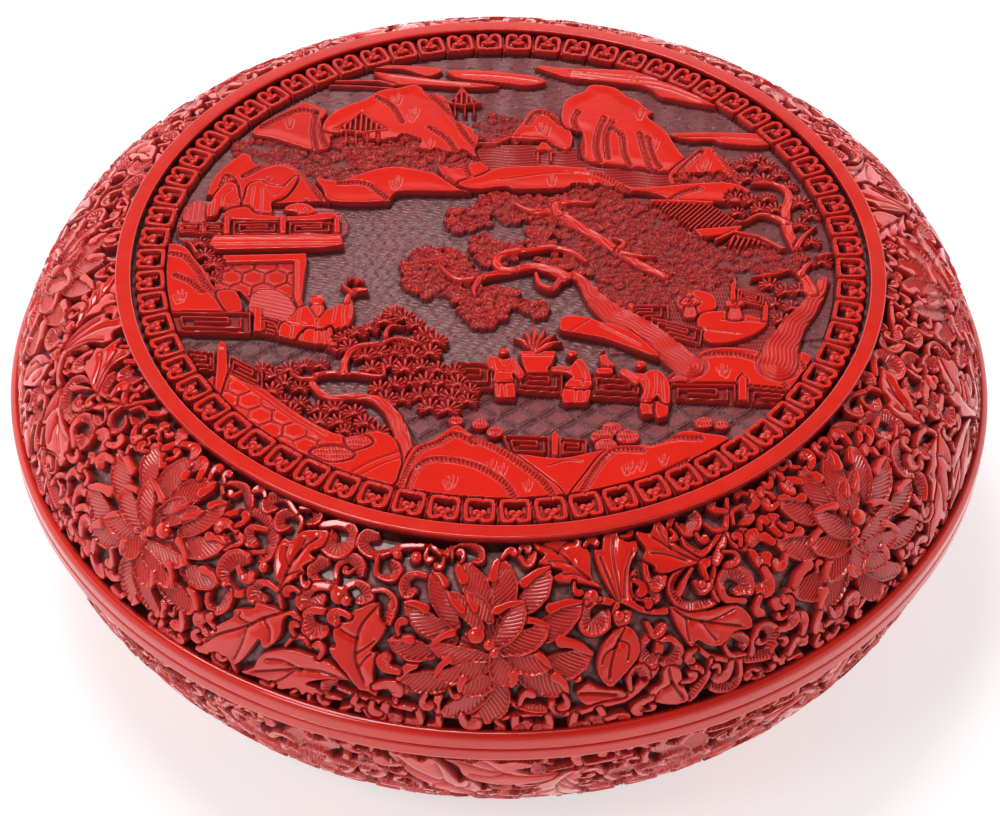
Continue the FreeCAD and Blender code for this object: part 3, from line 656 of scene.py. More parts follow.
class Picture(Panel):
    """The lid's round picture. Its places are pixels of the photograph."""

    def slab(self, level, pixels, hollow=0.0, pattern=None, sharp=False, moat=1.0, deep=1.8, edge=0.5):
        """A flat-topped form with a crisp edge: a rock, a bank, a terrace."""
        outline = from_photo(pixels)
        if not sharp:
            outline = smooth_path(outline, 4, closed=True)
        spot, x, y = self.window(outline, 1.5)
        outside = inside_polygon(x, y, outline)
        top = level - 0.35 * (1 - ease(-outside, 0, edge)) - 0.15 * hollow * ease(-outside, 0.8, 6.0)
        if pattern is not None:
            top = top - pattern(x, y) * ease(-outside, 0.3, 0.8)
        self.lay(spot, outside, top, moat=moat, moat_depth=deep, level=level)

    def cut(self, pixels, width, depth):
        self.score(smooth_path(from_photo(pixels), 5), width, depth)

    def grass(self, *roots):
        """Small tufts: three short cuts that spread upward from each root."""
        for u, v in roots:
            for lean in (-5, 0, 4):
                tip = (u + lean, v - 11 + abs(lean) * 0.7)
                self.cut([(u + lean * 0.3, v), tip], 0.4, 0.45)

    def ridge(self, *paths, width=0.75):
        """The double line that follows the crest of a rock."""
        for pixels in paths:
            path = smooth_path(from_photo(pixels), 5)
            spot, x, y = self.window(path, 2 * width)
            along, side, total = near(x, y, path)
            strokes = stripes(along * total / 1.5 + 0.25 * side)
            sunk = ease(np.abs(side), 2 * width, 1.6 * width) * (0.7 + 0.7 * strokes)
            lift = ease(np.abs(side + width), 0.6 * width, 0.1) * 0.5
            self.height[spot] -= (sunk - lift * sunk).astype(np.float32)

    def bough(self, pixels, widths, level=-0.5, crown=0.9, bark=0.45):
        """A trunk or branch, with widths in millimetres at its points."""
        path = smooth_path(from_photo(pixels), 5)
        spot, x, y = self.window(path, max(widths) + 1.5)
        along, side, total = near(x, y, path)
        half = np.interp(along, np.linspace(0, 1, len(widths)), widths) / 2
        outside = np.abs(side) - half
        top = level - crown * np.clip(np.abs(side) / half, 0, 1) ** 2.5
        grain = stripes(side / 1.5 + 0.35 * np.sin(along * total / 2.2)) * ease(half, 0.9, 1.8)
        top = top - bark * grain
        self.lay(spot, outside, top, moat=1.0, moat_depth=1.8, level=level)

    def rail(self, pixels, half_width, level):
        rod(self, from_photo(pixels), half_width, level, crown=0.15, moat=0.5)

    def fret(self, corners):
        """A railing panel: bottom left, bottom right, top right, top left."""
        back = -2.8
        a, b, c, d = from_photo(corners)
        outline = np.array([a, b, c, d])
        spot, x, y = self.window(outline, 1.5)
        outside = inside_polygon(x, y, outline)
        self.lay(spot, outside, np.full(x.shape, back, np.float32), moat=0.8, level=back, moat_depth=0.8)
        wide = np.hypot(*(b - a)) / max(np.hypot(*(d - a)), 1e-3)
        cells = max(int(round(wide / fret_pitch)), 1)
        for k in range(cells):
            low, high = k / cells, (k + 1) / cells
            for line in key_pattern:
                points = []
                for s, t in line:
                    s = low + (high - low) * s
                    points.append((a * (1 - s) + b * s) * (1 - t) + (d * (1 - s) + c * s) * t)
                rod(self, np.array(points), 0.42, -0.6, crown=0.1, moat=0.3)

    def fans(self, level, radius, *roots):
        """Pine needles: half-round sprays of fine cuts."""
        for u, v in roots:
            center = from_photo([(u, v)])[0]
            size = radius * self.rng.uniform(0.85, 1.15)
            spot, x, y = self.window([center], size + 1.2)
            dx, dy = x - center[0], y - center[1] + 0.45 * size
            angle = np.arctan2(dx, dy)
            distance = np.hypot(dx, dy)
            reach = size * (1.25 - 0.35 * np.abs(angle) / 1.6)
            reach = reach * (0.89 + 0.11 * np.cos(13 * angle))
            outside = np.maximum(distance - reach, np.abs(angle) * size * 0.6 - 1.25 * size)
            cuts = ease(stripes(13 * angle / (2 * math.pi)), 0.35, 0.9)
            cuts = cuts * ease(distance, 0.15 * size, 0.45 * size)
            top = level + 0.6 + self.rng.uniform(-0.35, 0.35) - 1.5 * cuts - 0.3 * (distance / size) ** 2
            self.lay(spot, outside, top, moat_depth=1.5, level=level)

    def leafage(self, level, spacing, outline):
        """Scalloped pads of leaves with dark gaps between them, over a form with a ragged edge."""
        radius, lobes = 2.0, 7
        edge = smooth_path(from_photo(outline), 4, closed=True)
        low, high = edge.min(0), edge.max(0)
        count = int((high[0] - low[0]) * (high[1] - low[1]) / spacing ** 2)
        x = self.rng.uniform(low[0], high[0], count).astype(np.float32)
        y = np.sort(self.rng.uniform(low[1], high[1], count))[::-1].astype(np.float32)
        within = inside_polygon(x, y, edge) < 0
        spot, gx, gy = self.window(edge, 1.5)
        outside = inside_polygon(gx, gy, edge)
        self.lay(spot, outside + 1.4, np.full(gx.shape, level - 1.5, np.float32), moat=1.0, level=level - 0.9)
        for cx, cy in zip(x[within], y[within]):
            size = radius * self.rng.uniform(0.75, 1.2)
            turn_by = self.rng.uniform(0, 2 * math.pi)
            rise = level - 0.05 + self.rng.uniform(-0.5, 0.4)
            spot, gx, gy = self.window([(cx, cy)], size + 0.8)
            dx, dy = gx - cx, 1.25 * (gy - cy)
            distance = np.hypot(dx, dy)
            scallop = np.abs(np.cos(0.5 * lobes * (np.arctan2(dy, dx) + turn_by)))
            outside = distance - size * (0.78 + 0.22 * scallop)
            inner = ease(np.abs(distance - size * (0.42 + 0.14 * scallop)), 0.30, 0.08)
            top = rise - 0.35 * (distance / size) ** 2 - 0.9 * inner
            self.lay(spot, outside, top, moat=0.5, moat_depth=1.7, level=rise)

    def figure(self, foot, height, level):
        """A small robed figure, with a plain face too small for features."""
        def put(points):
            return [(foot[0] + x * height, foot[1] - y * height) for x, y in points]

        self.slab(level, put(robe_outline), hollow=0.3, moat=1.1, deep=2.0)
        for fold in robe_folds:
            self.cut(put(fold), 0.45, 0.6)
        for sleeve, widths, rise in sleeves:
            self.bough(put(sleeve), widths, level + rise, bark=0.2)
        for place, size, rise, crown in heads:
            knob(self, from_photo(put([place]))[0], height * size / pixels_per_mm, level + rise, crown)

    def person(self, level, forms, head, size, folds):
        """A figure from its own outlines, with a head left plain, in pixels."""
        for outline in forms:
            self.slab(level, outline, moat=1.1, deep=2.6, edge=0.7)
        for fold in folds:
            self.cut(fold, 0.42, 0.75)
        knob(self, from_photo([(head[0], head[1] + 0.12 * size)])[0], size * 0.245, level + 0.2, 0.35)
        self.cut([(head[0] - size * 0.6, head[1]), (head[0], head[1] - size * 0.2),
                  (head[0] + size * 0.6, head[1] - size * 0.05)], 0.4, 0.6)


# the small figures, where 1 is their height
robe_outline = [(-0.22, 0), (-0.26, 0.2), (-0.19, 0.45), (-0.25, 0.6), (-0.18, 0.76), (-0.06, 0.81),
                (0.06, 0.81), (0.18, 0.76), (0.25, 0.6), (0.19, 0.45), (0.26, 0.2), (0.22, 0)]
robe_folds = [[(-0.07, 0.42), (-0.12, 0.02)], [(0.08, 0.42), (0.12, 0.02)], [(0, 0.4), (0.0, 0.05)],
              [(-0.19, 0.46), (0, 0.42), (0.19, 0.46)], [(-0.06, 0.78), (0.02, 0.66), (0.06, 0.78)]]
# sleeves: a path, its widths, and how far it stands above the robe
sleeves = [([(-0.15, 0.7), (-0.24, 0.56), (-0.04, 0.5)], (2.4, 2.6, 1.5), 0.15),
           ([(0.15, 0.7), (0.25, 0.6), (0.12, 0.5)], (2.4, 2.6, 1.3), 0.25)]
# the head and the knot of hair on it
heads = [((0.0, 0.88), 0.125, 0.3, 0.45), ((0.02, 0.985), 0.05, 0.1, 0.5)]
# the lines of one cell of a railing, in a square of side 1
key_pattern = [[(0, 0), (1, 0)], [(0, 1), (1, 1)], [(0, 0), (0, 1)], [(1, 0), (1, 1)],
               [(0.12, 0.25), (0.88, 0.25), (0.88, 0.76)],
               [(0.12, 0.5), (0.12, 0.76), (0.72, 0.76), (0.72, 0.52)],
               [(0.12, 0.25), (0.12, 0.4)], [(0.28, 0.52), (0.72, 0.52)]]


def draw_sky(p):
    p.slab(-3.5, [(150, 330), (190, 160), (300, 80), (400, 50), (500, 40), (620, 50), (740, 100),
        (820, 180), (850, 330)], pattern=sky_lines, moat=0)
    p.slab(-4.2, [(190, 260), (300, 196), (400, 186), (560, 186), (600, 260), (600, 380), (480, 400),
        (420, 420), (300, 390), (190, 330)], pattern=waves, moat=0)
    # long flat clouds
    p.slab(-1.0, [(345, 64), (380, 64), (412, 65), (437, 67), (442, 71), (430, 76), (417, 73), (403, 69),
        (370, 68)], moat=1.4, deep=3.0)
    p.slab(-0.8, [(374, 72), (395, 74), (420, 77), (443, 80), (470, 82), (500, 86), (470, 88), (440, 86),
        (420, 85), (402, 85), (385, 80)], moat=1.4, deep=3.0)
    p.rail([(328, 80), (355, 80), (380, 80), (395, 84)], 0.7, -1.2)
    p.rail([(330, 84), (360, 85), (392, 87)], 0.6, -1.4)
    p.slab(-0.7, [(447, 71), (462, 70), (490, 71), (520, 74), (542, 78), (545, 83), (528, 86), (508, 84),
        (490, 82), (478, 81), (462, 79), (452, 76)], moat=1.4, deep=3.2)
    p.slab(-0.6, [(535, 67), (546, 66), (560, 68), (600, 69), (640, 71), (665, 74), (682, 81), (700, 90),
        (722, 99), (735, 104), (722, 107), (700, 105), (675, 100), (660, 97), (648, 88), (620, 84),
        (598, 81), (572, 79), (554, 74)], moat=1.4, deep=3.2)
    for dy in (4, 8, 12):
        p.cut([(570, 70 + dy * 0.5), (620, 72 + dy), (660, 77 + dy), (700, 91 + dy)], 0.5, 0.5)
    p.cut([(388, 76), (420, 80), (470, 85)], 0.4, 0.5)
    p.cut([(460, 75), (500, 77), (538, 82)], 0.4, 0.4)
    p.slab(-0.9, [(667, 134), (690, 132), (725, 132), (765, 134), (778, 143), (760, 146), (738, 145),
        (722, 143), (712, 140), (690, 140)], moat=1.3, deep=2.8)
    p.cut([(672, 137), (720, 137), (770, 141)], 0.4, 0.4)


def draw_left_hills(p):
    p.leafage(-2.1, 2.4, [(232, 138), (250, 132), (300, 130), (345, 132), (390, 150), (480, 150),
        (480, 172), (430, 172), (380, 170), (330, 176), (250, 160)])
    p.slab(-1.0, [(252, 133), (262, 122), (275, 116), (290, 108), (303, 102), (318, 106), (327, 111),
        (322, 119), (324, 125), (332, 131), (333, 140), (322, 150), (300, 146), (275, 138)], hollow=0.7)
    p.ridge([(262, 127), (280, 118), (300, 110), (315, 111)], [(316, 112), (313, 130), (316, 148)],
        [(323, 120), (321, 132), (326, 146)])
    p.grass((290, 128))
    p.slab(-0.5, [(323, 130), (326, 119), (338, 110), (352, 104), (366, 99), (380, 91), (400, 88),
        (415, 85), (427, 91), (445, 98), (451, 108), (456, 118), (470, 128), (478, 135), (480, 148),
        (492, 164), (508, 182), (490, 186), (465, 186), (447, 180), (436, 166), (420, 150), (395, 142),
        (360, 138), (340, 134)], hollow=0.9, deep=2.4)
    p.ridge([(425, 91), (442, 106), (456, 122), (467, 138), (480, 152), (494, 172)],
        [(378, 98), (392, 106), (402, 122)], [(430, 128), (448, 140), (458, 156), (470, 176)])
    p.grass((398, 105), (392, 108), (412, 122), (415, 118), (430, 150))
    p.leafage(-1.7, 2.2, [(335, 136), (352, 134), (372, 142), (392, 138), (415, 136), (420, 148),
        (445, 152), (470, 152), (472, 164), (440, 168), (410, 168), (380, 166), (345, 160)])
    for roof, posts in (([(334, 130), (348, 123), (362, 112), (374, 122), (388, 130), (362, 133)],
            (346, 356, 367, 378)), ([(446, 103), (456, 97), (462, 89), (469, 97), (481, 104), (463, 106)],
            (455, 465, 474))):
        foot = max(v for _, v in roof)
        for u in posts:
            p.rail([(u, foot), (u, foot + 9)], 0.45, -1.0)
        p.slab(-0.3, roof, pattern=tiles(0.0), deep=2.0, sharp=True)
        p.rail([roof[0], roof[5], roof[4]], 0.5, -0.2)
        p.rail([roof[1], roof[2], roof[3]], 0.5, -0.1)
    p.slab(-0.9, [(206, 196), (212, 180), (222, 168), (232, 160), (243, 153), (251, 156), (257, 164),
        (285, 161), (300, 168), (312, 180), (322, 192), (330, 201), (320, 212), (260, 216), (205, 212)],
        hollow=0.6)
    p.ridge([(244, 176), (262, 167), (280, 163), (296, 168), (309, 182), (320, 198)],
        [(222, 185), (226, 176), (232, 178), (236, 186)])
    p.slab(-0.5, [(316, 178), (335, 181), (350, 178), (370, 171), (392, 167), (412, 169), (432, 173),
        (446, 180), (462, 188), (472, 191), (450, 192), (400, 192), (388, 201), (370, 203), (345, 203),
        (328, 200), (322, 188)], hollow=0.5, deep=2.6)
    p.ridge([(340, 184), (365, 184), (378, 192), (388, 200)], [(446, 178), (458, 187), (470, 190)])
    p.grass((395, 190), (398, 188))


def draw_far_bank(p):
    p.leafage(-2.0, 2.3, [(478, 118), (500, 112), (520, 118), (530, 135), (505, 140), (482, 138)])
    p.slab(-2.2, [(478, 146), (520, 142), (580, 146), (600, 158), (660, 165), (690, 172), (690, 190),
        (600, 186), (520, 180), (490, 168)],
        pattern=lambda x, y: 0.7 * stripes(y / 1.7 + 0.3 * np.sin(x / 3)))
    p.slab(-0.8, [(512, 136), (521, 124), (530, 111), (543, 109), (556, 115), (566, 124), (573, 136),
        (569, 149), (556, 146), (545, 140), (528, 140)], hollow=0.6)
    p.ridge([(528, 124), (536, 114), (548, 114), (560, 124)])
    p.grass((541, 133), (546, 136))
    p.rail([(480, 143), (496, 143), (510, 137), (546, 139)], 0.7, -0.8)
    p.slab(-0.6, [(534, 152), (541, 142), (547, 143), (556, 153), (546, 150)], sharp=True)
    p.rail([(538, 152), (538, 160)], 0.5, -1.0)
    p.rail([(551, 152), (551, 160)], 0.5, -1.0)
    p.slab(-0.6, [(566, 128), (561, 118), (563, 104), (572, 96), (583, 92), (591, 85), (612, 87), (622, 92),
        (628, 97), (638, 101), (647, 109), (654, 113), (648, 117), (660, 126), (668, 134), (674, 143),
        (680, 152), (690, 164), (676, 172), (640, 168), (604, 164), (586, 160), (580, 146), (582, 132),
        (574, 130)], hollow=0.8, deep=2.8)
    p.ridge([(604, 118), (598, 132), (596, 148), (600, 162)], [(612, 122), (606, 136), (608, 158)],
        [(640, 134), (644, 150), (650, 168)], [(648, 138), (652, 154), (660, 168)],
        [(612, 128), (622, 136), (624, 152), (630, 166)], [(578, 112), (574, 122), (581, 138), (582, 156)])
    p.grass((640, 120), (655, 150))
    p.slab(-0.7, [(668, 176), (676, 166), (687, 158), (698, 149), (712, 148), (726, 158), (736, 170),
        (744, 182), (728, 190), (700, 192), (676, 188)], hollow=0.6)
    p.ridge([(680, 172), (692, 160), (702, 152)], [(716, 152), (728, 166), (738, 180)])
    p.grass((702, 172), (707, 170))
    p.leafage(-1.6, 2.3, [(672, 178), (700, 172), (730, 176), (735, 186), (700, 188)])
    p.slab(-0.5, [(458, 183), (480, 176), (500, 168), (540, 166), (580, 168), (602, 172), (622, 183),
        (640, 188), (690, 184), (730, 183), (752, 192), (756, 200), (735, 203), (700, 201), (676, 202),
        (660, 196), (640, 192), (600, 191), (570, 189), (520, 190), (505, 187), (480, 190), (466, 188)],
        hollow=0.5, deep=2.6)
    p.cut([(500, 180), (560, 173), (600, 177), (630, 190)], 0.5, 0.5)
    p.grass((552, 186), (590, 190))
    p.ridge([(590, 171), (610, 180), (628, 191)], [(672, 200), (684, 193), (700, 189)])


def draw_left_terrace(p):
    # the far terrace over the water, its wall and the rocks below it
    p.slab(-2.9, [(180, 208), (200, 196), (260, 205), (335, 205), (338, 236), (215, 238), (178, 236)],
        pattern=lambda x, y: 0.4 * stripes(y / 1.8))
    p.slab(-1.6, [(182, 218), (190, 202), (204, 200), (206, 220)],
        pattern=lambda x, y: 0.4 * stripes(x / 2.0))
    p.person(-0.5, [[(225, 184), (234, 183), (238, 188), (239, 196), (242, 204), (235, 208), (227, 210),
        (221, 208), (216, 216), (207, 217), (206, 208), (211, 201), (216, 193)]], (232, 179), 4.6,
        [[(232, 190), (224, 196), (222, 206)], [(238, 200), (228, 204)], [(214, 200), (212, 214)]])
    p.person(-0.4, [[(248, 186), (259, 181), (266, 184), (274, 186), (284, 186), (294, 177), (298, 179),
        (290, 192), (282, 199), (272, 203), (271, 218), (243, 218), (241, 208), (245, 196)]], (268, 178),
        4.8, [[(254, 188), (252, 202), (250, 216)], [(262, 190), (262, 204), (260, 216)],
        [(286, 186), (276, 196)], [(266, 188), (274, 196)]])
    p.person(-0.6, [[(285, 207), (297, 203), (310, 205), (318, 213), (324, 222), (314, 223), (302, 221),
        (297, 213), (286, 211)]], (306, 200), 3.6, [[(304, 208), (310, 218)], [(296, 206), (300, 212)]])
    p.slab(-0.8, [(228, 210), (248, 207), (258, 214), (300, 216), (330, 212), (336, 218), (300, 221),
        (228, 219)])
    p.fret([(180, 232), (226, 234), (226, 223), (180, 224)])
    p.fret([(234, 234), (280, 234), (280, 222), (234, 222)])
    p.fret([(290, 234), (334, 234), (334, 223), (290, 223)])
    for u in (227, 283, 337):
        p.slab(-0.25, [(u - 3.2, 237), (u + 3.2, 237), (u + 3.2, 219), (u, 215), (u - 3.2, 219)], sharp=True)
    p.slab(-0.3, [(214, 236), (342, 235), (344, 246), (322, 249), (215, 251), (208, 244)], sharp=True,
        deep=2.6)
    p.cut([(212, 240), (342, 239)], 0.4, 0.5)
    p.cut([(212, 245), (338, 244)], 0.5, 0.6)
    p.slab(-1.5, [(214, 260), (300, 258), (300, 300), (255, 306), (240, 290), (214, 292)], sharp=True,
        pattern=stones)
    p.slab(-0.35, [(214, 256), (307, 254), (307, 262), (302, 300), (308, 312), (294, 308), (294, 262),
        (214, 264)], sharp=True, deep=2.4)
    p.cut([(298, 262), (298, 300)], 0.4, 0.4)
    p.fans(-1.6, 4.2, (200, 240), (214, 262), (205, 252), (212, 275))
    p.bough([(196, 252), (192, 245), (186, 240)], (1.8, 1.5, 0.9))
    p.slab(-0.5, [(166, 250), (172, 244), (186, 248), (196, 260), (206, 272), (213, 285), (224, 297),
        (236, 305), (242, 314), (166, 314)], hollow=0.7)
    p.ridge([(172, 254), (186, 258), (198, 272), (208, 288), (220, 300), (228, 312)],
        [(176, 276), (190, 282), (202, 292)])
    p.grass((182, 302), (178, 304))
    p.slab(-1.2, [(216, 292), (232, 289), (240, 296), (242, 310), (228, 312)])
    p.slab(-1.0, [(250, 312), (250, 298), (258, 290), (276, 290), (292, 300), (296, 316), (276, 322)],
        pattern=lambda x, y: 0.5 * stripes((y + 0.3 * x) / 2.0))
    p.fret([(176, 331), (250, 333), (250, 313), (170, 313)])
    p.fret([(262, 332), (280, 336), (280, 322), (262, 316)])
    p.slab(-0.2, [(253, 333), (262, 333), (262, 309), (257, 305), (254, 309)], sharp=True)


def draw_robed_visitor(p):
    """The figure by the water with raised arms and a tall vessel."""
    p.slab(-0.7, [(290, 352), (298, 344), (320, 347), (336, 345), (340, 352), (318, 351), (304, 354)],
        deep=2.2)
    p.slab(-0.45, [(296, 330), (306, 322), (324, 322), (333, 330), (338, 346), (320, 345), (300, 347),
        (288, 345)], deep=2.4)
    p.slab(-0.25, [(278, 334), (281, 325), (290, 319), (299, 309), (310, 307), (320, 313), (332, 308),
        (342, 304), (345, 296), (352, 298), (354, 314), (348, 328), (338, 332), (331, 326), (322, 330),
        (308, 328), (299, 334), (292, 344), (280, 342)], hollow=0.2, deep=2.4)
    for fold in ([(284, 322), (292, 328), (290, 340)], [(300, 311), (299, 322), (306, 326)],
            [(309, 309), (316, 320), (315, 344)], [(324, 313), (317, 322)], [(336, 309), (333, 322)],
            [(348, 300), (343, 312), (344, 328)], [(352, 304), (350, 318)], [(304, 330), (300, 344)],
            [(326, 328), (331, 344)], [(288, 324), (298, 326)], [(322, 332), (324, 345)]):
        p.cut(fold, 0.45, 0.75)
    p.slab(-0.3, [(311, 306), (322, 305), (325, 311), (318, 318), (313, 312)], moat=0.5)
    p.cut([(316, 309), (317, 316)], 0.35, 0.5)
    p.cut([(320, 309), (319, 315)], 0.35, 0.5)
    knob(p, from_photo([(317, 301)])[0], 2.9, 0.0, 0.35)
    p.cut([(309, 300), (317, 298), (325, 299)], 0.4, 0.6)
    p.cut([(311, 296), (323, 295)], 0.35, 0.5)
    p.bough([(346, 302), (350, 294), (356, 290), (366, 290)], (2.6, 2.4, 3.4, 2.0), -0.3)
    p.bough([(352, 292), (346, 288), (342, 284)], (2.2, 1.8, 1.2), -0.4)
    p.fans(-0.9, 2.2, (352, 279), (360, 281))


def draw_pine(p):
    p.fans(-1.7, 4.6, (250, 372), (262, 366), (275, 372), (290, 365), (305, 362), (320, 362), (285, 380),
        (300, 385), (272, 388), (285, 398), (300, 400), (290, 408), (318, 405), (335, 405), (320, 418),
        (340, 418), (355, 410), (365, 420), (345, 428), (378, 428), (362, 432))
    p.fans(-1.5, 4.8, (345, 335), (358, 330), (370, 326), (385, 318), (395, 310), (405, 314), (416, 322),
        (426, 332), (436, 338), (418, 340), (402, 342), (430, 350), (412, 352), (395, 350), (378, 350),
        (365, 352), (350, 345), (390, 362), (405, 366), (422, 364), (372, 366), (438, 366), (455, 368))
    p.fans(-1.6, 4.8, (410, 380), (426, 378), (442, 380), (458, 380), (470, 388), (395, 382), (380, 386),
        (420, 392), (436, 392), (452, 394), (468, 398), (430, 404), (448, 406), (402, 396), (386, 396))
    p.bough([(402, 480), (408, 462), (404, 442), (398, 424), (390, 410), (376, 399), (352, 396), (330, 397),
        (316, 388), (312, 378), (325, 373), (352, 373), (382, 376), (383, 364)],
        (7.5, 7.0, 6.5, 6.0, 5.5, 4.6, 3.6, 3.2, 3.2, 2.8, 2.4, 2.2, 2.0, 1.2), level=-0.35, bark=0.6)
    p.bough([(344, 372), (345, 360), (351, 350), (362, 345), (384, 342), (386, 332), (392, 326),
        (404, 327)], (3.2, 3.0, 2.8, 2.4, 2.4, 2.2, 1.8, 1.0), level=-0.4, bark=0.4)
    p.bough([(384, 342), (396, 338), (410, 340), (420, 344)], (2.2, 1.8, 1.6, 0.9), bark=0.2)
    p.bough([(312, 378), (300, 378), (290, 372)], (2.4, 1.8, 1.0), bark=0.2)


def draw_great_tree(p):
    p.leafage(-1.9, 2.1, [(560, 190), (600, 186), (640, 196), (655, 206), (700, 238), (724, 246),
        (800, 250), (812, 262), (772, 272), (745, 264), (730, 282), (700, 288), (660, 300), (612, 300),
        (590, 272), (566, 250), (556, 222)])
    p.leafage(-1.5, 2.1, [(478, 196), (500, 190), (520, 192), (560, 196), (590, 190), (596, 206),
        (552, 224), (528, 216), (506, 224), (492, 214), (480, 212)])
    p.leafage(-1.6, 2.1, [(446, 214), (452, 206), (470, 204), (482, 210), (490, 220), (476, 226),
        (462, 230), (450, 224)])
    p.leafage(-1.6, 2.1, [(472, 240), (480, 232), (500, 234), (520, 240), (524, 250), (505, 262),
        (484, 262), (474, 254)])
    p.leafage(-1.6, 2.1, [(526, 226), (534, 218), (550, 222), (554, 238), (545, 246), (530, 242)])
    p.leafage(-1.5, 2.1, [(400, 272), (404, 258), (420, 246), (436, 244), (456, 250), (470, 258),
        (480, 268), (470, 282), (455, 292), (430, 294), (410, 288)])
    p.leafage(-1.4, 2.1, [(452, 292), (470, 282), (500, 280), (520, 292), (545, 302), (548, 312),
        (530, 314), (512, 308), (500, 322), (480, 326), (464, 314), (456, 302)])
    p.leafage(-1.6, 2.1, [(556, 252), (580, 250), (590, 262), (586, 272), (566, 268), (540, 262),
        (530, 256)])
    # the leaning trunk, from its root at the rocks up to the left
    p.bough([(690, 366), (668, 348), (645, 330), (618, 316), (598, 300), (586, 284), (572, 274), (560, 280),
        (552, 288), (540, 284), (536, 274)], (12, 11.5, 11, 11, 11.5, 9.5, 7.0, 4.2, 3.6, 3.0, 1.8),
        level=-0.15, crown=1.3, bark=0.8)
    p.bough([(566, 276), (552, 270), (535, 266), (512, 270), (488, 275), (466, 280), (452, 277),
        (440, 266)], (5.0, 4.4, 4.0, 3.8, 3.4, 2.8, 2.2, 1.1), level=-0.2, bark=0.4)
    p.bough([(512, 270), (500, 268), (497, 259), (508, 252), (530, 250), (552, 247), (572, 252),
        (586, 262)], (3.6, 3.6, 3.2, 3.0, 3.0, 2.8, 2.4, 1.4), level=-0.25, bark=0.4)
    p.bough([(480, 278), (474, 288), (475, 296)], (2.6, 2.2, 1.2), level=-0.4, bark=0.2)
    p.bough([(665, 276), (640, 264), (618, 250), (596, 236), (576, 224), (556, 212), (532, 211),
        (514, 204)], (3.0, 3.6, 4.0, 4.4, 4.6, 4.4, 3.2, 1.4), level=-0.3, bark=0.5)
    p.bough([(558, 213), (556, 204), (572, 202), (592, 203), (596, 198)], (3.6, 3.0, 2.4, 1.8, 1.0),
        level=-0.35)
    p.bough([(618, 250), (624, 242), (612, 238)], (2.4, 1.8, 1.0), level=-0.6, bark=0.2)
    p.bough([(622, 252), (640, 256), (656, 257)], (2.6, 2.0, 1.0), bark=0.2)
    p.slab(-0.4, [(560, 330), (563, 317), (585, 317), (600, 322), (628, 330), (650, 346), (660, 358),
        (640, 352), (606, 340), (580, 335)], deep=2.4)
    p.cut([(570, 332), (590, 320)], 0.4, 0.5)
    p.cut([(600, 326), (640, 346)], 0.5, 0.6)


def draw_halls(p):
    """Tiled roofs among the trees on the right."""
    p.slab(-0.9, [(644, 210), (648, 202), (668, 201), (712, 204), (740, 222), (728, 231), (694, 233),
        (676, 223)], pattern=tiles(-0.8), sharp=True, deep=2.4)
    p.rail([(636, 204), (650, 201), (712, 203)], 0.8, -0.4)
    p.slab(-0.5, [(684, 232), (700, 229), (728, 227), (742, 226), (736, 232), (712, 237), (694, 237)],
        deep=2.2)
    p.slab(-0.9, [(722, 246), (734, 234), (756, 238), (782, 250), (774, 260), (746, 258)],
        pattern=tiles(-0.4), sharp=True, deep=2.4)
    p.rail([(716, 240), (734, 232), (760, 237), (786, 250)], 0.8, -0.5)
    p.slab(-0.7, [(712, 250), (734, 251), (756, 260), (776, 262), (774, 267), (750, 266), (728, 257)])
    p.fans(-1.7, 4.6, (742, 162), (756, 158), (768, 164), (780, 172), (748, 176), (764, 178), (790, 184),
        (736, 196), (752, 198), (768, 196), (738, 210), (760, 206), (776, 206), (800, 200), (812, 212),
        (800, 222), (812, 240), (822, 258))
    p.fans(-1.8, 4.4, (770, 282), (786, 288), (800, 286), (776, 300), (792, 304), (782, 316))
    p.bough([(800, 252), (792, 238), (786, 222), (787, 205), (788, 192), (774, 184), (752, 184)],
        (4.6, 4.6, 4.4, 4.0, 3.4, 2.4, 1.2), level=-0.3, bark=0.5)
    p.bough([(786, 222), (772, 216), (758, 215), (744, 222), (736, 221)], (3.0, 2.6, 2.4, 1.8, 1.0),
        level=-0.4)
    p.bough([(797, 246), (804, 236), (816, 226)], (2.6, 2.0, 1.0), bark=0.2)
    p.bough([(778, 366), (782, 346), (794, 324), (808, 308), (818, 292), (824, 280)],
        (15, 13, 10, 8, 6.5, 4.5), level=-0.2, crown=1.2, bark=0.8)
    p.bough([(812, 292), (804, 276), (792, 268), (772, 274), (752, 278)], (5.0, 4.2, 3.4, 2.4, 1.2),
        level=-0.3)
    p.bough([(800, 274), (808, 264), (820, 256), (834, 254)], (3.0, 2.6, 2.0, 1.2), level=-0.35, bark=0.3)


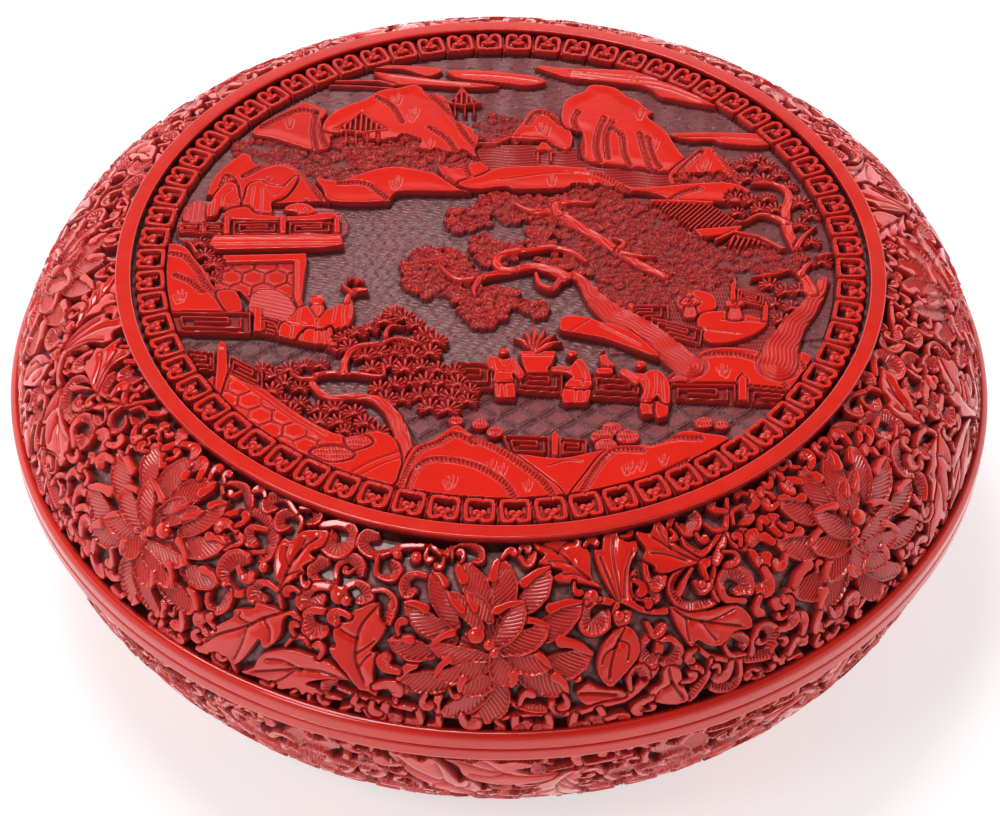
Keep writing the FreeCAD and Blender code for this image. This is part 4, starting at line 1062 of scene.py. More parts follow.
def draw_right_court(p):
    p.slab(-2.6, [(600, 296), (660, 288), (720, 280), (770, 290), (776, 330), (760, 352), (700, 360),
        (660, 350), (610, 320)], pattern=dashes, moat=0.6)
    p.slab(-0.8, [(676, 300), (686, 291), (700, 290), (714, 296), (716, 308), (700, 313), (682, 310)])
    p.slab(-0.6, [(698, 316), (722, 311), (750, 316), (768, 322), (752, 336), (722, 344), (702, 338)],
        hollow=0.3)
    p.cut([(722, 320), (760, 322)], 0.4, 0.5)
    p.cut([(704, 330), (740, 334)], 0.4, 0.5)
    p.figure((690, 318), 26, level=-0.5)
    p.figure((735, 320), 28, level=-0.5)
    p.fret([(612, 318), (668, 320), (668, 306), (612, 306)])
    p.fret([(652, 330), (700, 344), (702, 330), (652, 318)])
    for u, v in ((733, 301), (765, 322), (630, 322)):
        p.slab(-0.3, [(u - 3, v), (u + 3, v), (u + 4, v - 20), (u + 1, v - 24), (u - 2, v - 20)], sharp=True)
    p.fret([(738, 300), (762, 306), (764, 296), (738, 290)])
    # the hill with the railing before it
    p.slab(-0.3, [(662, 384), (668, 376), (688, 363), (702, 352), (722, 348), (742, 349), (764, 352),
        (790, 350), (812, 358), (812, 380), (790, 404), (760, 404), (700, 404), (662, 400)], hollow=0.5,
        deep=2.4)
    p.ridge([(690, 382), (696, 366), (708, 356), (735, 355), (760, 362), (776, 376), (786, 388)],
        [(776, 354), (794, 358), (806, 370)], [(672, 380), (686, 370)])
    p.grass((722, 376), (726, 378), (779, 378))
    p.fret([(670, 403), (735, 406), (735, 385), (670, 384)])
    p.fret([(748, 407), (790, 409), (800, 392), (748, 387)])
    p.slab(-0.15, [(738, 408), (747, 408), (747, 380), (742, 375), (738, 380)], sharp=True)


def draw_front_court(p):
    p.slab(-3.5, [(395, 400), (480, 388), (560, 390), (660, 398), (800, 405), (770, 440), (700, 450),
        (600, 455), (500, 455), (420, 440)], pattern=lozenges, moat=0, sharp=True)
    p.slab(-3.9, [(180, 334), (260, 334), (330, 348), (345, 360), (270, 362), (230, 372), (190, 350)],
        pattern=lozenges, moat=0, sharp=True)
    p.fret([(452, 388), (492, 388), (492, 364), (452, 362)])
    p.fret([(515, 390), (562, 393), (562, 373), (515, 371)])
    p.fret([(590, 396), (645, 399), (645, 376), (590, 372)])
    p.person(-0.7, [[(599, 356), (607, 354), (610, 360), (616, 366), (604, 368), (600, 362)],
        [(597, 368), (612, 368), (612, 374), (597, 374)]], (603, 350), 4.0, [[(604, 358), (608, 365)]])
    # a potted plant carried between two figures
    p.slab(-0.2, [(525, 374), (549, 374), (557, 352), (519, 352)], sharp=True, deep=2.4)
    p.cut([(522, 357), (554, 357)], 0.4, 0.5)
    for tip in ((514, 338), (524, 332), (534, 326), (545, 330), (556, 334), (562, 342)):
        middle = ((tip[0] + 537) / 2, (tip[1] + 352) / 2 - 3)
        p.bough([(537, 352), middle, tip], (1.6, 3.0, 0.8), bark=0.3)
    p.person(-0.25, [[(495, 380), (512, 380), (516, 397), (509, 399), (496, 398), (494, 388)],
        [(489, 357), (497, 357), (504, 360), (513, 358), (520, 366), (525, 375), (520, 380), (513, 374),
        (513, 382), (494, 382), (494, 372), (489, 369), (486, 362)]], (504, 351), 8.2,
        [[(500, 360), (506, 366), (511, 360)], [(494, 381), (513, 381)], [(504, 383), (506, 397)],
        [(499, 384), (498, 396)], [(514, 364), (518, 374)], [(492, 360), (495, 370)],
        [(496, 372), (512, 373)]])
    p.person(-0.25, [[(564, 388), (589, 388), (588, 403), (576, 404), (563, 403)],
        [(551, 368), (562, 366), (570, 367), (576, 360), (583, 361), (589, 370), (591, 388), (565, 388),
        (568, 381), (572, 377), (563, 374), (552, 373)]], (572, 353), 8.0,
        [[(564, 388), (591, 388)], [(576, 390), (575, 403)], [(584, 390), (584, 402)],
        [(576, 362), (584, 374), (582, 386)], [(556, 370), (570, 372)], [(574, 380), (590, 382)]])
    p.person(-0.2, [[(641, 400), (657, 400), (659, 413), (650, 416), (641, 414)],
        [(656, 402), (668, 404), (667, 417), (656, 418)], [(622, 369), (630, 371), (641, 374), (654, 370),
        (664, 375), (670, 386), (670, 404), (662, 403), (657, 397), (650, 403), (640, 401), (643, 391),
        (640, 384), (636, 386), (628, 380), (619, 374)]], (641, 364), 8.6,
        [[(644, 374), (648, 386), (645, 400)], [(656, 374), (656, 388), (654, 398)],
        [(662, 380), (664, 400)], [(624, 372), (636, 380)], [(632, 372), (642, 380)],
        [(650, 404), (651, 414)], [(641, 401), (657, 401)]])
    # clipped bushes
    for u, v, r, level in ((480, 423, 9, -1.0), (456, 420, 8, -0.8), (495, 431, 9, -1.0),
            (612, 427, 11, -1.2), (602, 436, 12, -1.0), (628, 436, 12, -0.9), (606, 445, 12, -0.9),
            (704, 422, 10, -0.9), (722, 424, 8, -1.0)):
        ring = [(u + r * math.cos(a), v + 0.62 * r * math.sin(a)) for a in np.linspace(0, 6.28, 11)[:-1]]
        p.slab(level, ring, pattern=dashes, edge=1.2)
    p.fret([(512, 456), (549, 457), (549, 437), (504, 436)])
    p.fret([(560, 458), (586, 456), (586, 440), (560, 438)])
    p.slab(-0.2, [(551, 458), (558, 458), (559, 436), (555, 430), (551, 436)], sharp=True)


def draw_front_rocks(p):
    p.slab(-0.7, [(505, 456), (560, 458), (610, 450), (620, 470), (590, 505), (540, 505)], hollow=0.2)
    p.cut([(548, 466), (566, 461), (582, 462)], 0.4, 0.5)
    # stone paving on the left, with its kerb
    p.slab(-0.3, [(205, 395), (216, 374), (232, 368), (262, 388), (292, 410), (322, 428), (345, 436),
        (375, 432), (395, 440), (402, 470), (390, 510), (330, 500), (260, 450)], deep=2.4)
    p.slab(-0.35, [(216, 400), (222, 384), (236, 380), (262, 399), (292, 420), (320, 438), (322, 452),
        (300, 462), (262, 440)], pattern=stones, moat=0.5, deep=0.6)
    p.cut([(228, 372), (262, 394), (292, 416), (326, 436)], 0.6, 0.6)
    p.slab(-0.6, [(310, 452), (330, 446), (350, 450), (352, 458), (330, 462)], pattern=dashes)
    p.slab(-0.6, [(345, 438), (365, 436), (372, 444), (352, 450)], pattern=dashes)
    p.cut([(350, 474), (372, 462), (400, 452)], 0.8, 0.6)
    p.cut([(356, 478), (384, 464), (404, 458)], 0.5, 0.5)
    p.fret([(186, 368), (214, 370), (214, 353), (186, 350)])
    p.fret([(228, 372), (262, 388), (262, 372), (230, 356)])
    p.slab(-0.15, [(214, 396), (216, 370), (217, 346), (222, 341), (227, 346), (228, 372), (221, 394)],
        sharp=True, deep=2.2)
    p.cut([(216, 350), (228, 350)], 0.4, 0.5)
    # the two great rocks in front
    p.slab(-0.15, [(388, 505), (398, 482), (404, 464), (414, 448), (434, 440), (448, 430), (458, 426),
        (470, 434), (486, 441), (506, 450), (526, 463), (546, 478), (562, 492), (566, 512), (480, 520)],
        hollow=0.7, deep=2.6)
    p.ridge([(398, 498), (408, 472), (420, 452), (440, 444), (456, 436), (474, 444)],
        [(474, 440), (500, 452), (524, 468), (544, 484), (554, 498)], [(406, 496), (414, 474), (428, 462),
        (446, 461), (470, 465), (490, 474), (506, 486), (516, 502)])
    p.grass((453, 488), (448, 490), (492, 472), (503, 476), (528, 492))
    p.slab(-0.1, [(560, 512), (570, 494), (584, 476), (600, 456), (616, 447), (640, 446), (662, 441),
        (684, 432), (704, 434), (730, 440), (720, 460), (690, 480), (620, 505)], hollow=0.6, deep=2.6)
    p.ridge([(578, 502), (588, 484), (602, 464), (616, 452), (642, 452)],
        [(650, 446), (676, 440), (700, 440)], [(600, 496), (640, 484), (690, 462)])
    p.grass((632, 474), (627, 476), (642, 472), (664, 466))


def border(panel):
    """The ring of small scrolled frames, with a plain channel outside it."""
    middle = (border_outer + border_inner) / 2
    pitch = 2 * math.pi * middle / cell_count
    radius = np.hypot(*np.meshgrid(panel.low[0] + np.arange(panel.columns) * panel.cell_x,
                                   panel.low[1] + np.arange(panel.rows) * panel.cell_y))
    panel.height[radius > picture_radius] = -ground_depth
    for k in range(cell_count):
        angle = 2 * math.pi * (k + 0.5) / cell_count
        place = (middle * math.cos(angle), middle * math.sin(angle))
        spin = angle - math.pi / 2

        def put(points):
            return turn(points, spin, place)

        half = pitch / 2
        rod(panel, put([(half, -5.4), (half, 4.8)]), 0.36, -0.9, crown=0.1, moat=0.3)
        # a square frame whose outer side turns in and ends in a small heart
        frame_line = [(0, -4.6), (3.2, -4.6), (4.5, -3.9), (4.6, 0), (4.5, 3.3), (3.6, 4.5), (2.0, 4.6),
                      (0.95, 3.7), (0.6, 2.6)]
        for way in (-1, 1):
            side = [(x * way, y) for x, y in frame_line]
            rod(panel, put(smooth_path(side, 4)), 0.98, -0.06, crown=0.05, moat=0.3)
            lobe = [(3.1 * way, -2.4), (3.0 * way, 0.2), (2.6 * way, 1.8)]
            rod(panel, put(smooth_path(lobe, 4)), 0.95, -1.5, crown=0.6, moat=0)
            for dy in (-1.8, -0.7, 0.4, 1.4):
                panel.score(put([(2.3 * way, dy), (3.7 * way, dy)]), 0.3, 0.6)
            knob(panel, put([(1.05 * way, 0.4)])[0], 1.55, -0.35, 0.5)
        knob(panel, put([(0, 2.0)])[0], 1.0, -0.3, 0.3)

def carve_picture():
    """The lid's picture and its border, drawn from the far side to the near one."""
    reach = medallion_radius + 0.2
    panel = Picture((-reach, -reach), (reach, reach), fine_cell)
    panel.rng = np.random.default_rng(5)
    for draw in (draw_sky, draw_left_hills, draw_far_bank, draw_left_terrace, draw_robed_visitor,
                 draw_right_court, draw_halls, draw_great_tree, draw_front_court, draw_pine,
                 draw_front_rocks, border):
        draw(panel)
    return panel


# ---------------------------------------------------------------- meshes from the carving
# how far round a cell its neighbourhood reaches, for wide hollows and for fine cuts
hollow_reach = (2.4, 0.7)


def cavity_of(height, reach):
    """How far each cell lies below its neighbourhood, which is reach cells wide."""
    blurred = height.astype(np.float64)
    for _ in range(2):
        for axis in (0, 1):
            padded = np.concatenate([np.repeat(np.take(blurred, [0], axis), reach + 1, axis), blurred,
                                     np.repeat(np.take(blurred, [-1], axis), reach, axis)], axis)
            total = np.cumsum(padded, axis)
            count = blurred.shape[axis]
            high = np.take(total, np.arange(2 * reach + 1, 2 * reach + 1 + count), axis)
            low = np.take(total, np.arange(0, count), axis)
            blurred = (high - low) / (2 * reach + 1)
    return blurred - height


def steepness_of(height, cell):
    """Slope of the walls, 0 on level places and 1 on a steep wall."""
    up, across = np.gradient(height / cell)
    return ease(np.hypot(up, across), 1.2, 3.2)


def marks_of(height, cell):
    """What the lacquer's colour follows: depth, hollows wide and fine, and walls."""
    wide, fine = (cavity_of(height, max(int(reach / cell), 1)) for reach in hollow_reach)
    return {"carve_depth": height, "carve_cavity": wide, "carve_fine": fine,
            "carve_wall": steepness_of(height, cell)}


def bake_uv(rows, columns):
    """Texture places of a grid, a little in from the edges of the square."""
    return np.stack(np.meshgrid(np.linspace(0.01, 0.99, columns), np.linspace(0.01, 0.99, rows)), -1)


def put_in_scene(name, data):
    thing = bpy.data.objects.new(name, data)
    bpy.context.collection.objects.link(thing)
    return thing


def grid_mesh(name, points, normals, keep, marks, uv, material):
    """A smooth mesh from a grid of points. keep says which squares stay."""
    rows, columns = points.shape[:2]
    index = np.arange(rows * columns).reshape(rows, columns)
    quads = np.stack([index[:-1, :-1], index[:-1, 1:], index[1:, 1:], index[1:, :-1]], -1)[keep]
    used, faces = np.unique(quads, return_inverse=True)
    faces = faces.reshape(-1, 4)
    mesh = bpy.data.meshes.new(name)
    mesh.vertices.add(len(used))
    mesh.vertices.foreach_set("co", points.reshape(-1, 3)[used].astype(np.float32).ravel())
    mesh.loops.add(faces.size)
    mesh.loops.foreach_set("vertex_index", faces.astype(np.int32).ravel())
    mesh.polygons.add(len(faces))
    mesh.polygons.foreach_set("loop_start", np.arange(0, faces.size, 4, dtype=np.int32))
    mesh.update(calc_edges=True)
    mesh.polygons.foreach_set("use_smooth", np.ones(len(faces), bool))
    for mark, values in marks.items():
        layer = mesh.attributes.new(mark, "FLOAT", "POINT")
        layer.data.foreach_set("value", values.ravel()[used].astype(np.float32))
    layer = mesh.uv_layers.new(name="OFBake")
    layer.data.foreach_set("uv", uv.reshape(-1, 2)[used][faces.ravel()].astype(np.float32).ravel())
    mesh.normals_split_custom_set_from_vertices(normals.reshape(-1, 3)[used].tolist())
    mesh.materials.append(material)
    return put_in_scene(name, mesh)


def grid_normals(points, loops):
    """Vertex normals of a whole grid, so that its pieces join without a seam."""
    if loops:
        across = np.roll(points, -1, 1) - np.roll(points, 1, 1)
    else:
        across = np.gradient(points, axis=1)
    up = np.gradient(points, axis=0)
    normals = np.cross(across, up)
    return normals / np.maximum(np.linalg.norm(normals, axis=-1, keepdims=True), 1e-12)


def build_band(name, band, pieces, body, replaced, material):
    """Turns a band's height map into pieces that meet edge to edge."""
    columns = np.arange(band.columns + 1)
    heights = np.concatenate([band.height, band.height[:, :1]], 1)
    points = band.surface(columns, heights)
    normals = grid_normals(points[:, :-1], True)
    if band.side < 0:
        normals = -normals
    normals = np.concatenate([normals, normals[:, :1]], 1)
    # marks are taken over a wider strip, so that they match where the band closes
    margin = int(12 / band.cell)
    wrapped = np.concatenate([band.height[:, -margin:], band.height, band.height[:, :margin + 1]], 1)
    marks = {mark: values[:, margin:margin + band.columns + 1]
             for mark, values in marks_of(wrapped, band.cell).items()}
    edges = np.linspace(0, band.columns, pieces + 1).astype(int)
    flip = slice(None) if band.side > 0 else slice(None, None, -1)
    for k, (first, last) in enumerate(zip(edges[:-1], edges[1:])):
        part = slice(first, last + 1)
        keep = np.ones((band.rows - 1, last - first), bool)
        thing = grid_mesh(f"{name}_{k + 1}", points[flip, part], normals[flip, part], keep,
                          {mark: values[flip, part] for mark, values in marks.items()},
                          bake_uv(band.rows, last + 1 - first)[flip], material)
        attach(thing, body)
        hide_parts(replaced)


def build_picture(panel, material):
    """The picture's round panel, cut into squares that meet edge to edge."""
    x = panel.low[0] + np.arange(panel.columns) * panel.cell_x
    y = panel.low[1] + np.arange(panel.rows) * panel.cell_y
    grid_x, grid_y = np.meshgrid(x, y)
    points = np.stack([grid_x, grid_y, medallion_z + panel.height], -1) * MM
    normals = grid_normals(points, False)
    marks = marks_of(panel.height, panel.cell)
    radius = np.hypot(grid_x, grid_y)
    inside = radius < medallion_radius + 0.15
    keep = inside[:-1, :-1] & inside[1:, :-1] & inside[:-1, 1:] & inside[1:, 1:]
    squares = 3
    edges = np.linspace(0, panel.columns - 1, squares + 1).astype(int)
    for i, (bottom, top) in enumerate(zip(edges[:-1], edges[1:])):
        for j, (left, right) in enumerate(zip(edges[:-1], edges[1:])):
            rows, columns = slice(bottom, top + 1), slice(left, right + 1)
            thing = grid_mesh(f"picture_carving_{i + 1}{j + 1}", points[rows, columns],
                              normals[rows, columns], keep[bottom:top, left:right],
                              {mark: values[rows, columns] for mark, values in marks.items()},
                              bake_uv(top + 1 - bottom, right + 1 - left), material)
            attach(thing, "lid")
            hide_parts("lid_medallion_coat")


# ---------------------------------------------------------------- finishes
class Nodes:
    """A small helper for building the nodes of a material or of the world."""

    def __init__(self, tree):
        self.tree = tree

    def add(self, kind, **settings):
        """A new node. A setting is the value of an input, or else of a property."""
        node = self.tree.nodes.new(kind)
        for key, value in settings.items():
            if key in node.inputs:
                node.inputs[key].default_value = value
            else:
                setattr(node, key, value)
        return node

    def link(self, start, end):
        self.tree.links.new(start, end)

    def place(self, kind="Object"):
        return self.add("ShaderNodeTexCoord").outputs[kind]

    def attribute(self, name):
        return self.add("ShaderNodeAttribute", attribute_name=name).outputs["Fac"]

    def noise(self, scale, detail, roughness=0.5):
        noise = self.add("ShaderNodeTexNoise", Scale=scale, Detail=detail, Roughness=roughness)
        self.link(self.place(), noise.inputs["Vector"])
        return noise.outputs["Fac"]

    def sum(self, operation, first, second=None):
        """A sum on one value or two; the second may be a number."""
        node = self.add("ShaderNodeMath", operation=operation)
        self.link(first, node.inputs[0])
        if isinstance(second, float):
            node.inputs[1].default_value = second
        elif second is not None:
            self.link(second, node.inputs[1])
        return node.outputs["Value"]

    def spread(self, source, low, high, new_low=0.0, new_high=1.0):
        """Carries the values between low and high onto those between two others."""
        node = self.add("ShaderNodeMapRange", **{"From Min": low, "From Max": high,
                                                 "To Min": new_low, "To Max": new_high})
        self.link(source, node.inputs["Value"])
        return node.outputs["Result"]

    def wander(self, scale, low, high):
        """A value that wanders between two others."""
        return self.spread(self.noise(scale, 3.0), 0.3, 0.7, low, high)

    def at_seam(self):
        """1 on the faces at the seam, which are lacquered too."""
        split = self.add("ShaderNodeSeparateXYZ")
        self.link(self.place(), split.inputs[0])
        away = self.sum("ABSOLUTE", self.sum("SUBTRACT", split.outputs["Z"], float(seam_z * MM)))
        return self.spread(away, 0.8 * MM, 1.4 * MM, 1.0, 0.0)

    def ramp(self, source, stops):
        ramp = self.add("ShaderNodeValToRGB")
        elements = ramp.color_ramp.elements
        while len(elements) < len(stops):
            elements.new(0.5)
        for element, (place, color) in zip(elements, stops):
            element.position = place
            element.color = color + (1.0,)
        self.link(source, ramp.inputs["Fac"])
        return ramp.outputs["Color"]

    def mix(self, factor, first, second):
        """The first colour, going over to the second as factor goes from 0 to 1."""
        node = self.add("ShaderNodeMix", data_type="RGBA")
        self.link(factor, node.inputs["Factor"])
        for socket, value in ((node.inputs[6], first), (node.inputs[7], second)):
            if isinstance(value, tuple):
                socket.default_value = value + (1.0,)
            else:
                self.link(value, socket)
        return node.outputs[2]


class Finish(Nodes):
    """The nodes of a new material."""

    def __init__(self, name):
        self.material = bpy.data.materials.new(name)
        self.material.use_nodes = True
        super().__init__(self.material.node_tree)
        self.shader = self.tree.nodes["Principled BSDF"]

    def set(self, **sockets):
        """Constants on the shader's own sockets, which are named with _ for a blank."""
        for name, value in sockets.items():
            self.shader.inputs[name.replace("_", " ")].default_value = value

    def done(self, color, rough, relief, strength, depth):
        """Joins colour, roughness and a fine bump to the shader."""
        bump = self.add("ShaderNodeBump", Strength=strength, Distance=depth)
        self.link(relief, bump.inputs["Height"])
        for source, name in ((color, "Base Color"), (rough, "Roughness"),
                             (bump.outputs["Normal"], "Normal")):
            self.link(source, self.shader.inputs[name])
        return self.material


red_top = (0.78, 0.019, 0.009)
red_turned = (0.74, 0.020, 0.010)
# red_side_shaded and red_foot_shaded: the reds painted darker down the walls, as shade
red_side_shaded = (0.62, 0.020, 0.014)
red_deep = (0.40, 0.012, 0.012)
red_foot_shaded = (0.32, 0.020, 0.022)
# painted shade of the steep walls
wall_shade_brown = (0.17, 0.016, 0.018)
ground_mauve = (0.265, 0.100, 0.104)
# painted light: the bands' ground, the same mauve lacquer painted lighter than the picture's to lift the
# shade between their tall forms
scroll_ground_lit = (0.52, 0.205, 0.200)
# dark of the ground's own specks, and of the painted shade in its hollows
ground_specks_and_shade = (0.028, 0.007, 0.008)
# painted shade in the recesses of the lips and the ring
recess_shade = (0.05, 0.006, 0.008)
# painted shade in the fine cuts
cut_shade = (0.06, 0.006, 0.008)
black_lacquered = (0.009, 0.007, 0.007)
black_bloom = (0.030, 0.014, 0.010)
seam_black = (0.012, 0.009, 0.009)
pore_brown = (0.15, 0.08, 0.04)
# scales of the noise patterns, in turns per metre: from broad patches to a fine grain
patches, wear, mottling, brushing = 24.0, 38.0, 70.0, 180.0
grain, fine_grain, specks, pores = 260.0, 420.0, 480.0, 520.0


def carved_lacquer(name, ground, cavity_shade_range, gleam, wall_shade_share):
    """Bright red tops and the ground's own brown, with painted shade: the reds darken with depth and on steep
    walls, and the fine cuts and hollows darken.
    """
    n = Finish(name)
    level = n.spread(n.attribute("carve_depth"), -ground_depth, 0.0)
    # the brown ground is the lacquer's own lower layer; the reds darkening with depth down the walls are
    # painted shade
    body = n.ramp(level, [(0.0, ground), (0.16, ground), (0.34, red_foot_shaded), (0.62, red_side_shaded), (0.85, red_top)])
    color = n.mix(n.spread(n.noise(mottling, 4.0), 0.38, 0.72, 0.0, 0.20), body, red_deep)
    low = n.spread(n.attribute("carve_depth"), 1.5 - ground_depth, 0.5 - ground_depth)
    speck = n.sum("MULTIPLY", low, n.spread(n.noise(specks, 3.0), 0.44, 0.62, 0.0, 0.55))
    # painted shade: the steep walls darken, and grow duller
    wall = n.spread(n.attribute("carve_wall"), 0.0, 1.0, 0.0, wall_shade_share)
    # painted shade: the fine cuts and grooves darken
    fine = n.spread(n.attribute("carve_fine"), 0.06, 0.50, 0.0, 0.6)
    # painted shade: darker in the wide hollows and corners, where a cell lies below its neighbourhood
    cavity_shade = n.spread(n.attribute("carve_cavity"), *cavity_shade_range)
    # the ground's random specks, then painted shade on the walls, in the fine cuts and in the hollows
    for share, dark in ((speck, ground_specks_and_shade), (wall, wall_shade_brown), (fine, cut_shade), (cavity_shade, ground_specks_and_shade)):
        color = n.mix(share, color, dark)
    rough = n.spread(level, 0.2, 0.7, 0.7, 0.13)
    for dull in (wall, fine):
        rough = n.sum("MAXIMUM", rough, dull)
    n.set(Specular_IOR_Level=gleam, Coat_Weight=gleam, Coat_Roughness=0.07)
    return n.done(color, rough, n.noise(fine_grain, 4.0), strength=0.09, depth=0.4 * MM)


def turned_lacquer():
    """Plain lacquer of the lips and the ring: worn a little, with painted shade in its recess."""
    n = Finish("turned_red_lacquer")
    color = n.mix(n.spread(n.noise(wear, 5.0, 0.6), 0.4, 0.75, 0.0, 0.3), red_turned, red_deep)
    # painted shade in the recess
    color = n.mix(n.attribute("recess"), color, recess_shade)
    n.set(Coat_Weight=0.2, Coat_Roughness=0.08)
    return n.done(color, n.wander(120.0, 0.12, 0.22), n.noise(grain, 3.0), strength=0.08, depth=0.4 * MM)


def plain_lacquer():
    """Black lacquer of the inside and the foot: brushed on, with a brown bloom."""
    n = Finish("black_lacquer")
    color = n.mix(n.spread(n.noise(patches, 5.0, 0.6), 0.42, 0.72, 0.0, 0.7), black_lacquered, black_bloom)
    n.set(Coat_Weight=0.3, Coat_Roughness=0.1)
    return n.done(color, n.wander(90.0, 0.14, 0.30), n.noise(brushing, 3.0), strength=0.10, depth=0.4 * MM)


def bare_wood():
    """The core's wood: growth rings with fine pores."""
    n = Finish("bare_wood")
    rings = n.add("ShaderNodeTexWave", wave_type="RINGS", rings_direction="X",
                  **{"Scale": 26.0, "Distortion": 3.5, "Detail": 3.0, "Detail Scale": 1.6})
    n.link(n.place(), rings.inputs["Vector"])
    wood = n.ramp(rings.outputs["Fac"], [(0.0, (0.23, 0.125, 0.060)), (0.55, (0.38, 0.23, 0.12)),
                                         (1.0, (0.47, 0.31, 0.17))])
    bare = n.mix(n.spread(n.noise(pores, 2.0), 0.58, 0.7, 0.0, 0.5), wood, pore_brown)
    color = n.mix(n.at_seam(), bare, seam_black)
    return n.done(color, n.wander(60.0, 0.45, 0.65), n.noise(pores, 2.0), strength=0.25, depth=0.5 * MM)


def ash_putty():
    """The ground layer: cloth filled with ash and raw lacquer, matt and grainy."""
    n = Finish("ash_ground")
    grains = n.ramp(n.noise(grain, 5.0, 0.7), [(0.3, (0.075, 0.062, 0.058)), (0.55, (0.125, 0.105, 0.095)),
                                               (0.75, (0.19, 0.165, 0.15))])
    color = n.mix(n.at_seam(), grains, seam_black)
    return n.done(color, n.wander(130.0, 0.78, 0.94), n.noise(grain, 4.0), strength=0.35, depth=0.6 * MM)


# ---------------------------------------------------------------- the parts that aren't carved
sharp_angle = math.radians(40)


def lathe(name, outline, material, body, replaced, recess):
    """A turned piece: a closed outline of (radius, height) round the axis.
    recess holds, for each point of the outline, how much painted shade it gets."""
    segments = 720
    outline = np.array(outline, float)
    count = len(outline)
    angles = np.linspace(0, 2 * math.pi, segments, endpoint=False)
    radius = outline[:, 0][None, :]
    points = np.stack([radius * np.cos(angles)[:, None], radius * np.sin(angles)[:, None],
                       np.repeat(outline[:, 1][None, :], segments, 0)], -1) * MM
    index = np.arange(segments * count).reshape(segments, count)
    right = np.roll(index, -1, 0)
    faces = np.stack([index, right, np.roll(right, -1, 1), np.roll(index, -1, 1)], -1).reshape(-1, 4)
    mesh = bpy.data.meshes.new(name)
    mesh.from_pydata(points.reshape(-1, 3).tolist(), [], faces.tolist())
    mesh.shade_smooth()
    mesh.materials.append(material)
    layer = mesh.attributes.new("recess", "FLOAT", "POINT")
    layer.data.foreach_set("value", np.tile(np.array(recess, np.float32), segments))
    thing = put_in_scene(name, mesh)
    thing.modifiers.new("normals", "WEIGHTED_NORMAL").keep_sharp = True
    mesh.set_sharp_from_angle(angle=sharp_angle)
    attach(thing, body)
    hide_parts(replaced)


def quarter(center, radius, first, last, steps):
    """Points of a rounded edge, by angle in degrees."""
    angles = np.radians(np.linspace(first, last, steps + 1))
    return [(center[0] + radius * math.cos(a), center[1] + radius * math.sin(a)) for a in angles]


def build_lips(material):
    """The two plain lips, which meet at the seam."""
    # radii of the lip's far edge and of its edge at the seam, and where it goes under the carved coat
    far_round, seam_round = 2.6, 1.3
    inner = crest_radius - 8.6
    for body, side in (("lid", 1), ("base", -1)):
        outline = quarter((crest_radius - seam_round, seam_round), seam_round, -90, 0, 5)
        outline += quarter((crest_radius - far_round, lip_height - far_round), far_round, 0, 90, 9)
        # painted shade along the outline: at the seam, and on the top face beside the carved coat
        dark = [0.9] + [0.0] * (len(outline) - 2) + [0.3, 1.0, 1.0, 0.9]
        outline += [(crest_radius - far_round - 1.2, lip_height), (inner, lip_height), (inner, 0)]
        outline = [(r, seam_z + side * z) for r, z in outline]
        if side < 0:
            outline, dark = outline[::-1], dark[::-1]
        lathe(f"{body}_lip_finish", outline, material, body, f"{body}_lip", recess=dark)


def build_rim(material):
    """The plain raised ring round the picture, with painted shade where it stands in its channel."""
    edge = 0.55
    bottom = rim_low[2] + 1.5
    outline = quarter((rim_radius - edge, rim_z - edge), edge, 0, 90, 4)
    outline += quarter((medallion_radius + edge, rim_z - edge), edge, 90, 180, 4)
    # painted shade along the outline: on the walls that stand in the channel
    dark = [0.0] * len(outline) + [0.5, 1.0, 1.0, 1.0, 1.0, 0.4]
    outline += [(medallion_radius, rim_z - 1.2), (medallion_radius, rim_z - 2.6), (medallion_radius, bottom),
                (rim_radius, bottom), (rim_radius, rim_z - 3.0), (rim_radius, rim_z - 1.4)]
    lathe("rim_finish", outline, material, "lid", "lid_medallion_rim", recess=dark)


def dress_plain_nodes(materials):
    """Gives the CAD's own plain nodes their finish."""
    nodes = {"black": ("foot_ring", "base_underside_coat", "base_mouth_tongue", "base_lining", "lid_lining"),
             "wood": ("base_floor_board", "base_core_wall", "lid_core_wall", "lid_core_panel"),
             "ash": ("base_ground_layer", "lid_ground_layer")}
    for finish, names in nodes.items():
        for name in names:
            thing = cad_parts[name]
            thing.data.materials.clear()
            thing.data.materials.append(materials[finish])


# ---------------------------------------------------------------- floor, light and camera
def area_light(name, place, target, size, power):
    """A square lamp, turned to its target. Size in metres and power in watts."""
    lamp = bpy.data.lights.new(name, "AREA")
    lamp.shape = "RECTANGLE"
    lamp.size = lamp.size_y = size
    lamp.energy = power
    thing = put_in_scene(name, lamp)
    thing.location = place
    direction = Vector(target) - Vector(place)
    thing.rotation_euler = direction.to_track_quat("-Z", "Y").to_euler()


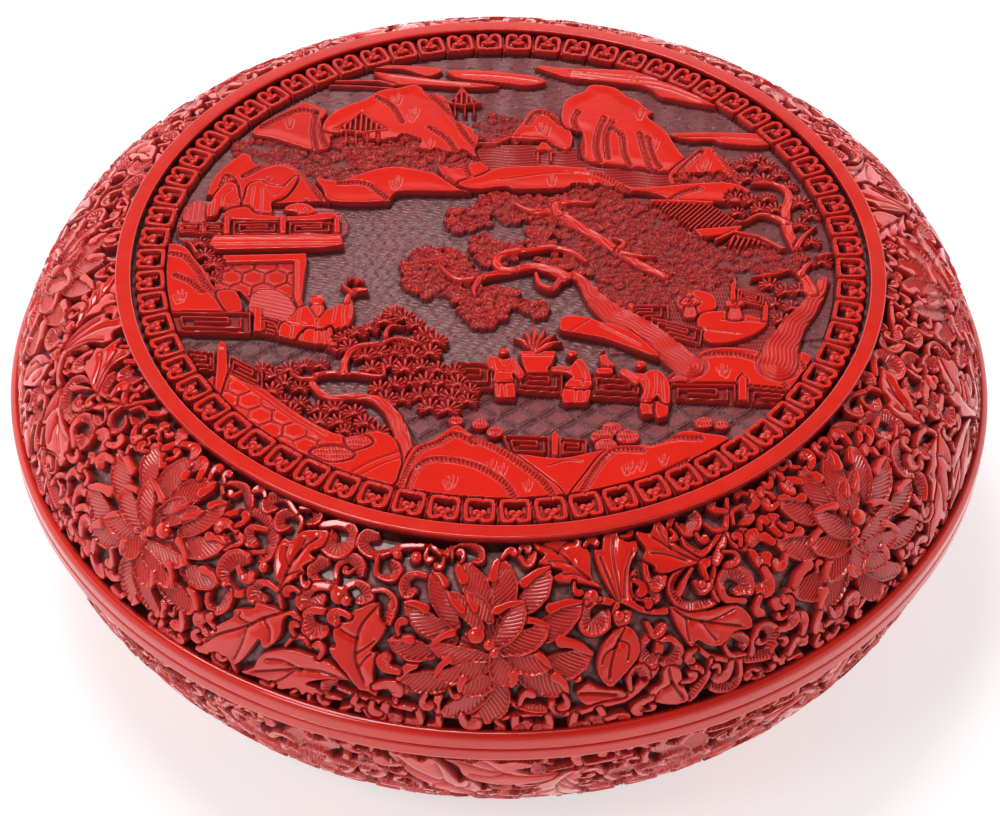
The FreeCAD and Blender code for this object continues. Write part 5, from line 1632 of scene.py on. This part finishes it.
def build_stage():
    """White paper under the box, a sky that is bright low down and darker
    overhead and in front, a large lamp for form and a small one for glints."""
    bpy.ops.mesh.primitive_plane_add(size=8.0, location=(0, 0, 0))
    floor = bpy.context.object
    floor.name = "floor"
    paper = Finish("white_paper")
    paper.set(Base_Color=(0.60, 0.60, 0.61, 1), Roughness=0.9, Emission_Color=(1, 1, 1, 1),
              Emission_Strength=0.62)
    floor.data.materials.append(paper.material)
    world = bpy.data.worlds.new("studio")
    world.use_nodes = True
    n = Nodes(world.node_tree)
    split = n.add("ShaderNodeSeparateXYZ")
    n.link(n.place("Generated"), split.inputs[0])
    overhead = n.spread(split.outputs["Z"], 0.585, 0.625, 1.5, 0.07)
    behind = n.spread(split.outputs["Y"], -0.6, 0.3, 0.25, 1.0)
    background = n.tree.nodes["Background"]
    background.inputs["Color"].default_value = (1, 1, 1, 1)
    n.link(n.sum("MULTIPLY", overhead, behind), background.inputs["Strength"])
    bpy.context.scene.world = world
    box_top = (0, 0, 0.1)
    area_light("key", (-0.35, 0.4, 1.9), box_top, 0.8, 21.0)
    area_light("glints", (-0.8, -0.85, 1.5), box_top, 0.4, 5.0)
    bpy.context.scene.view_settings.view_transform = "Standard"


def build_camera():
    """The photograph's camera, in metres as Blender wants it."""
    right, up, forward, place = camera_axes()
    camera = bpy.data.cameras.new("camera")
    camera.sensor_fit = "HORIZONTAL"
    camera.sensor_width = 36.0
    camera.lens = focal_pixels / photo_width * camera.sensor_width
    camera.clip_start, camera.clip_end = 0.05, 50.0
    thing = put_in_scene("camera", camera)
    axes = np.stack([right, up, -forward], 1)
    rows = [list(row) + [shift] for row, shift in zip(axes, place * MM)]
    thing.matrix_world = Matrix(rows + [[0, 0, 0, 1]])
    bpy.context.scene.camera = thing


red_carved = carved_lacquer("carved_red_lacquer", ground_mauve, (1.9, 4.6), 0.25, 0.52)
# the bands' copy: a ground painted lighter, and less painted shade on the walls
red_scroll = carved_lacquer("carved_scroll_lacquer", scroll_ground_lit, (2.8, 5.2), 0.45, 0.40)
red_plain = turned_lacquer()
core_finishes = {"black": plain_lacquer(), "wood": bare_wood(), "ash": ash_putty()}

shoulder_band, base_band = carve_bands()
build_band("shoulder_carving", shoulder_band, 8, "lid", "lid_shoulder_coat", red_scroll)
build_band("base_carving", base_band, 5, "base", "base_side_coat", red_scroll)
picture = carve_picture()
build_picture(picture, red_carved)
build_lips(red_plain)
build_rim(red_plain)
dress_plain_nodes(core_finishes)
build_stage()
build_camera()
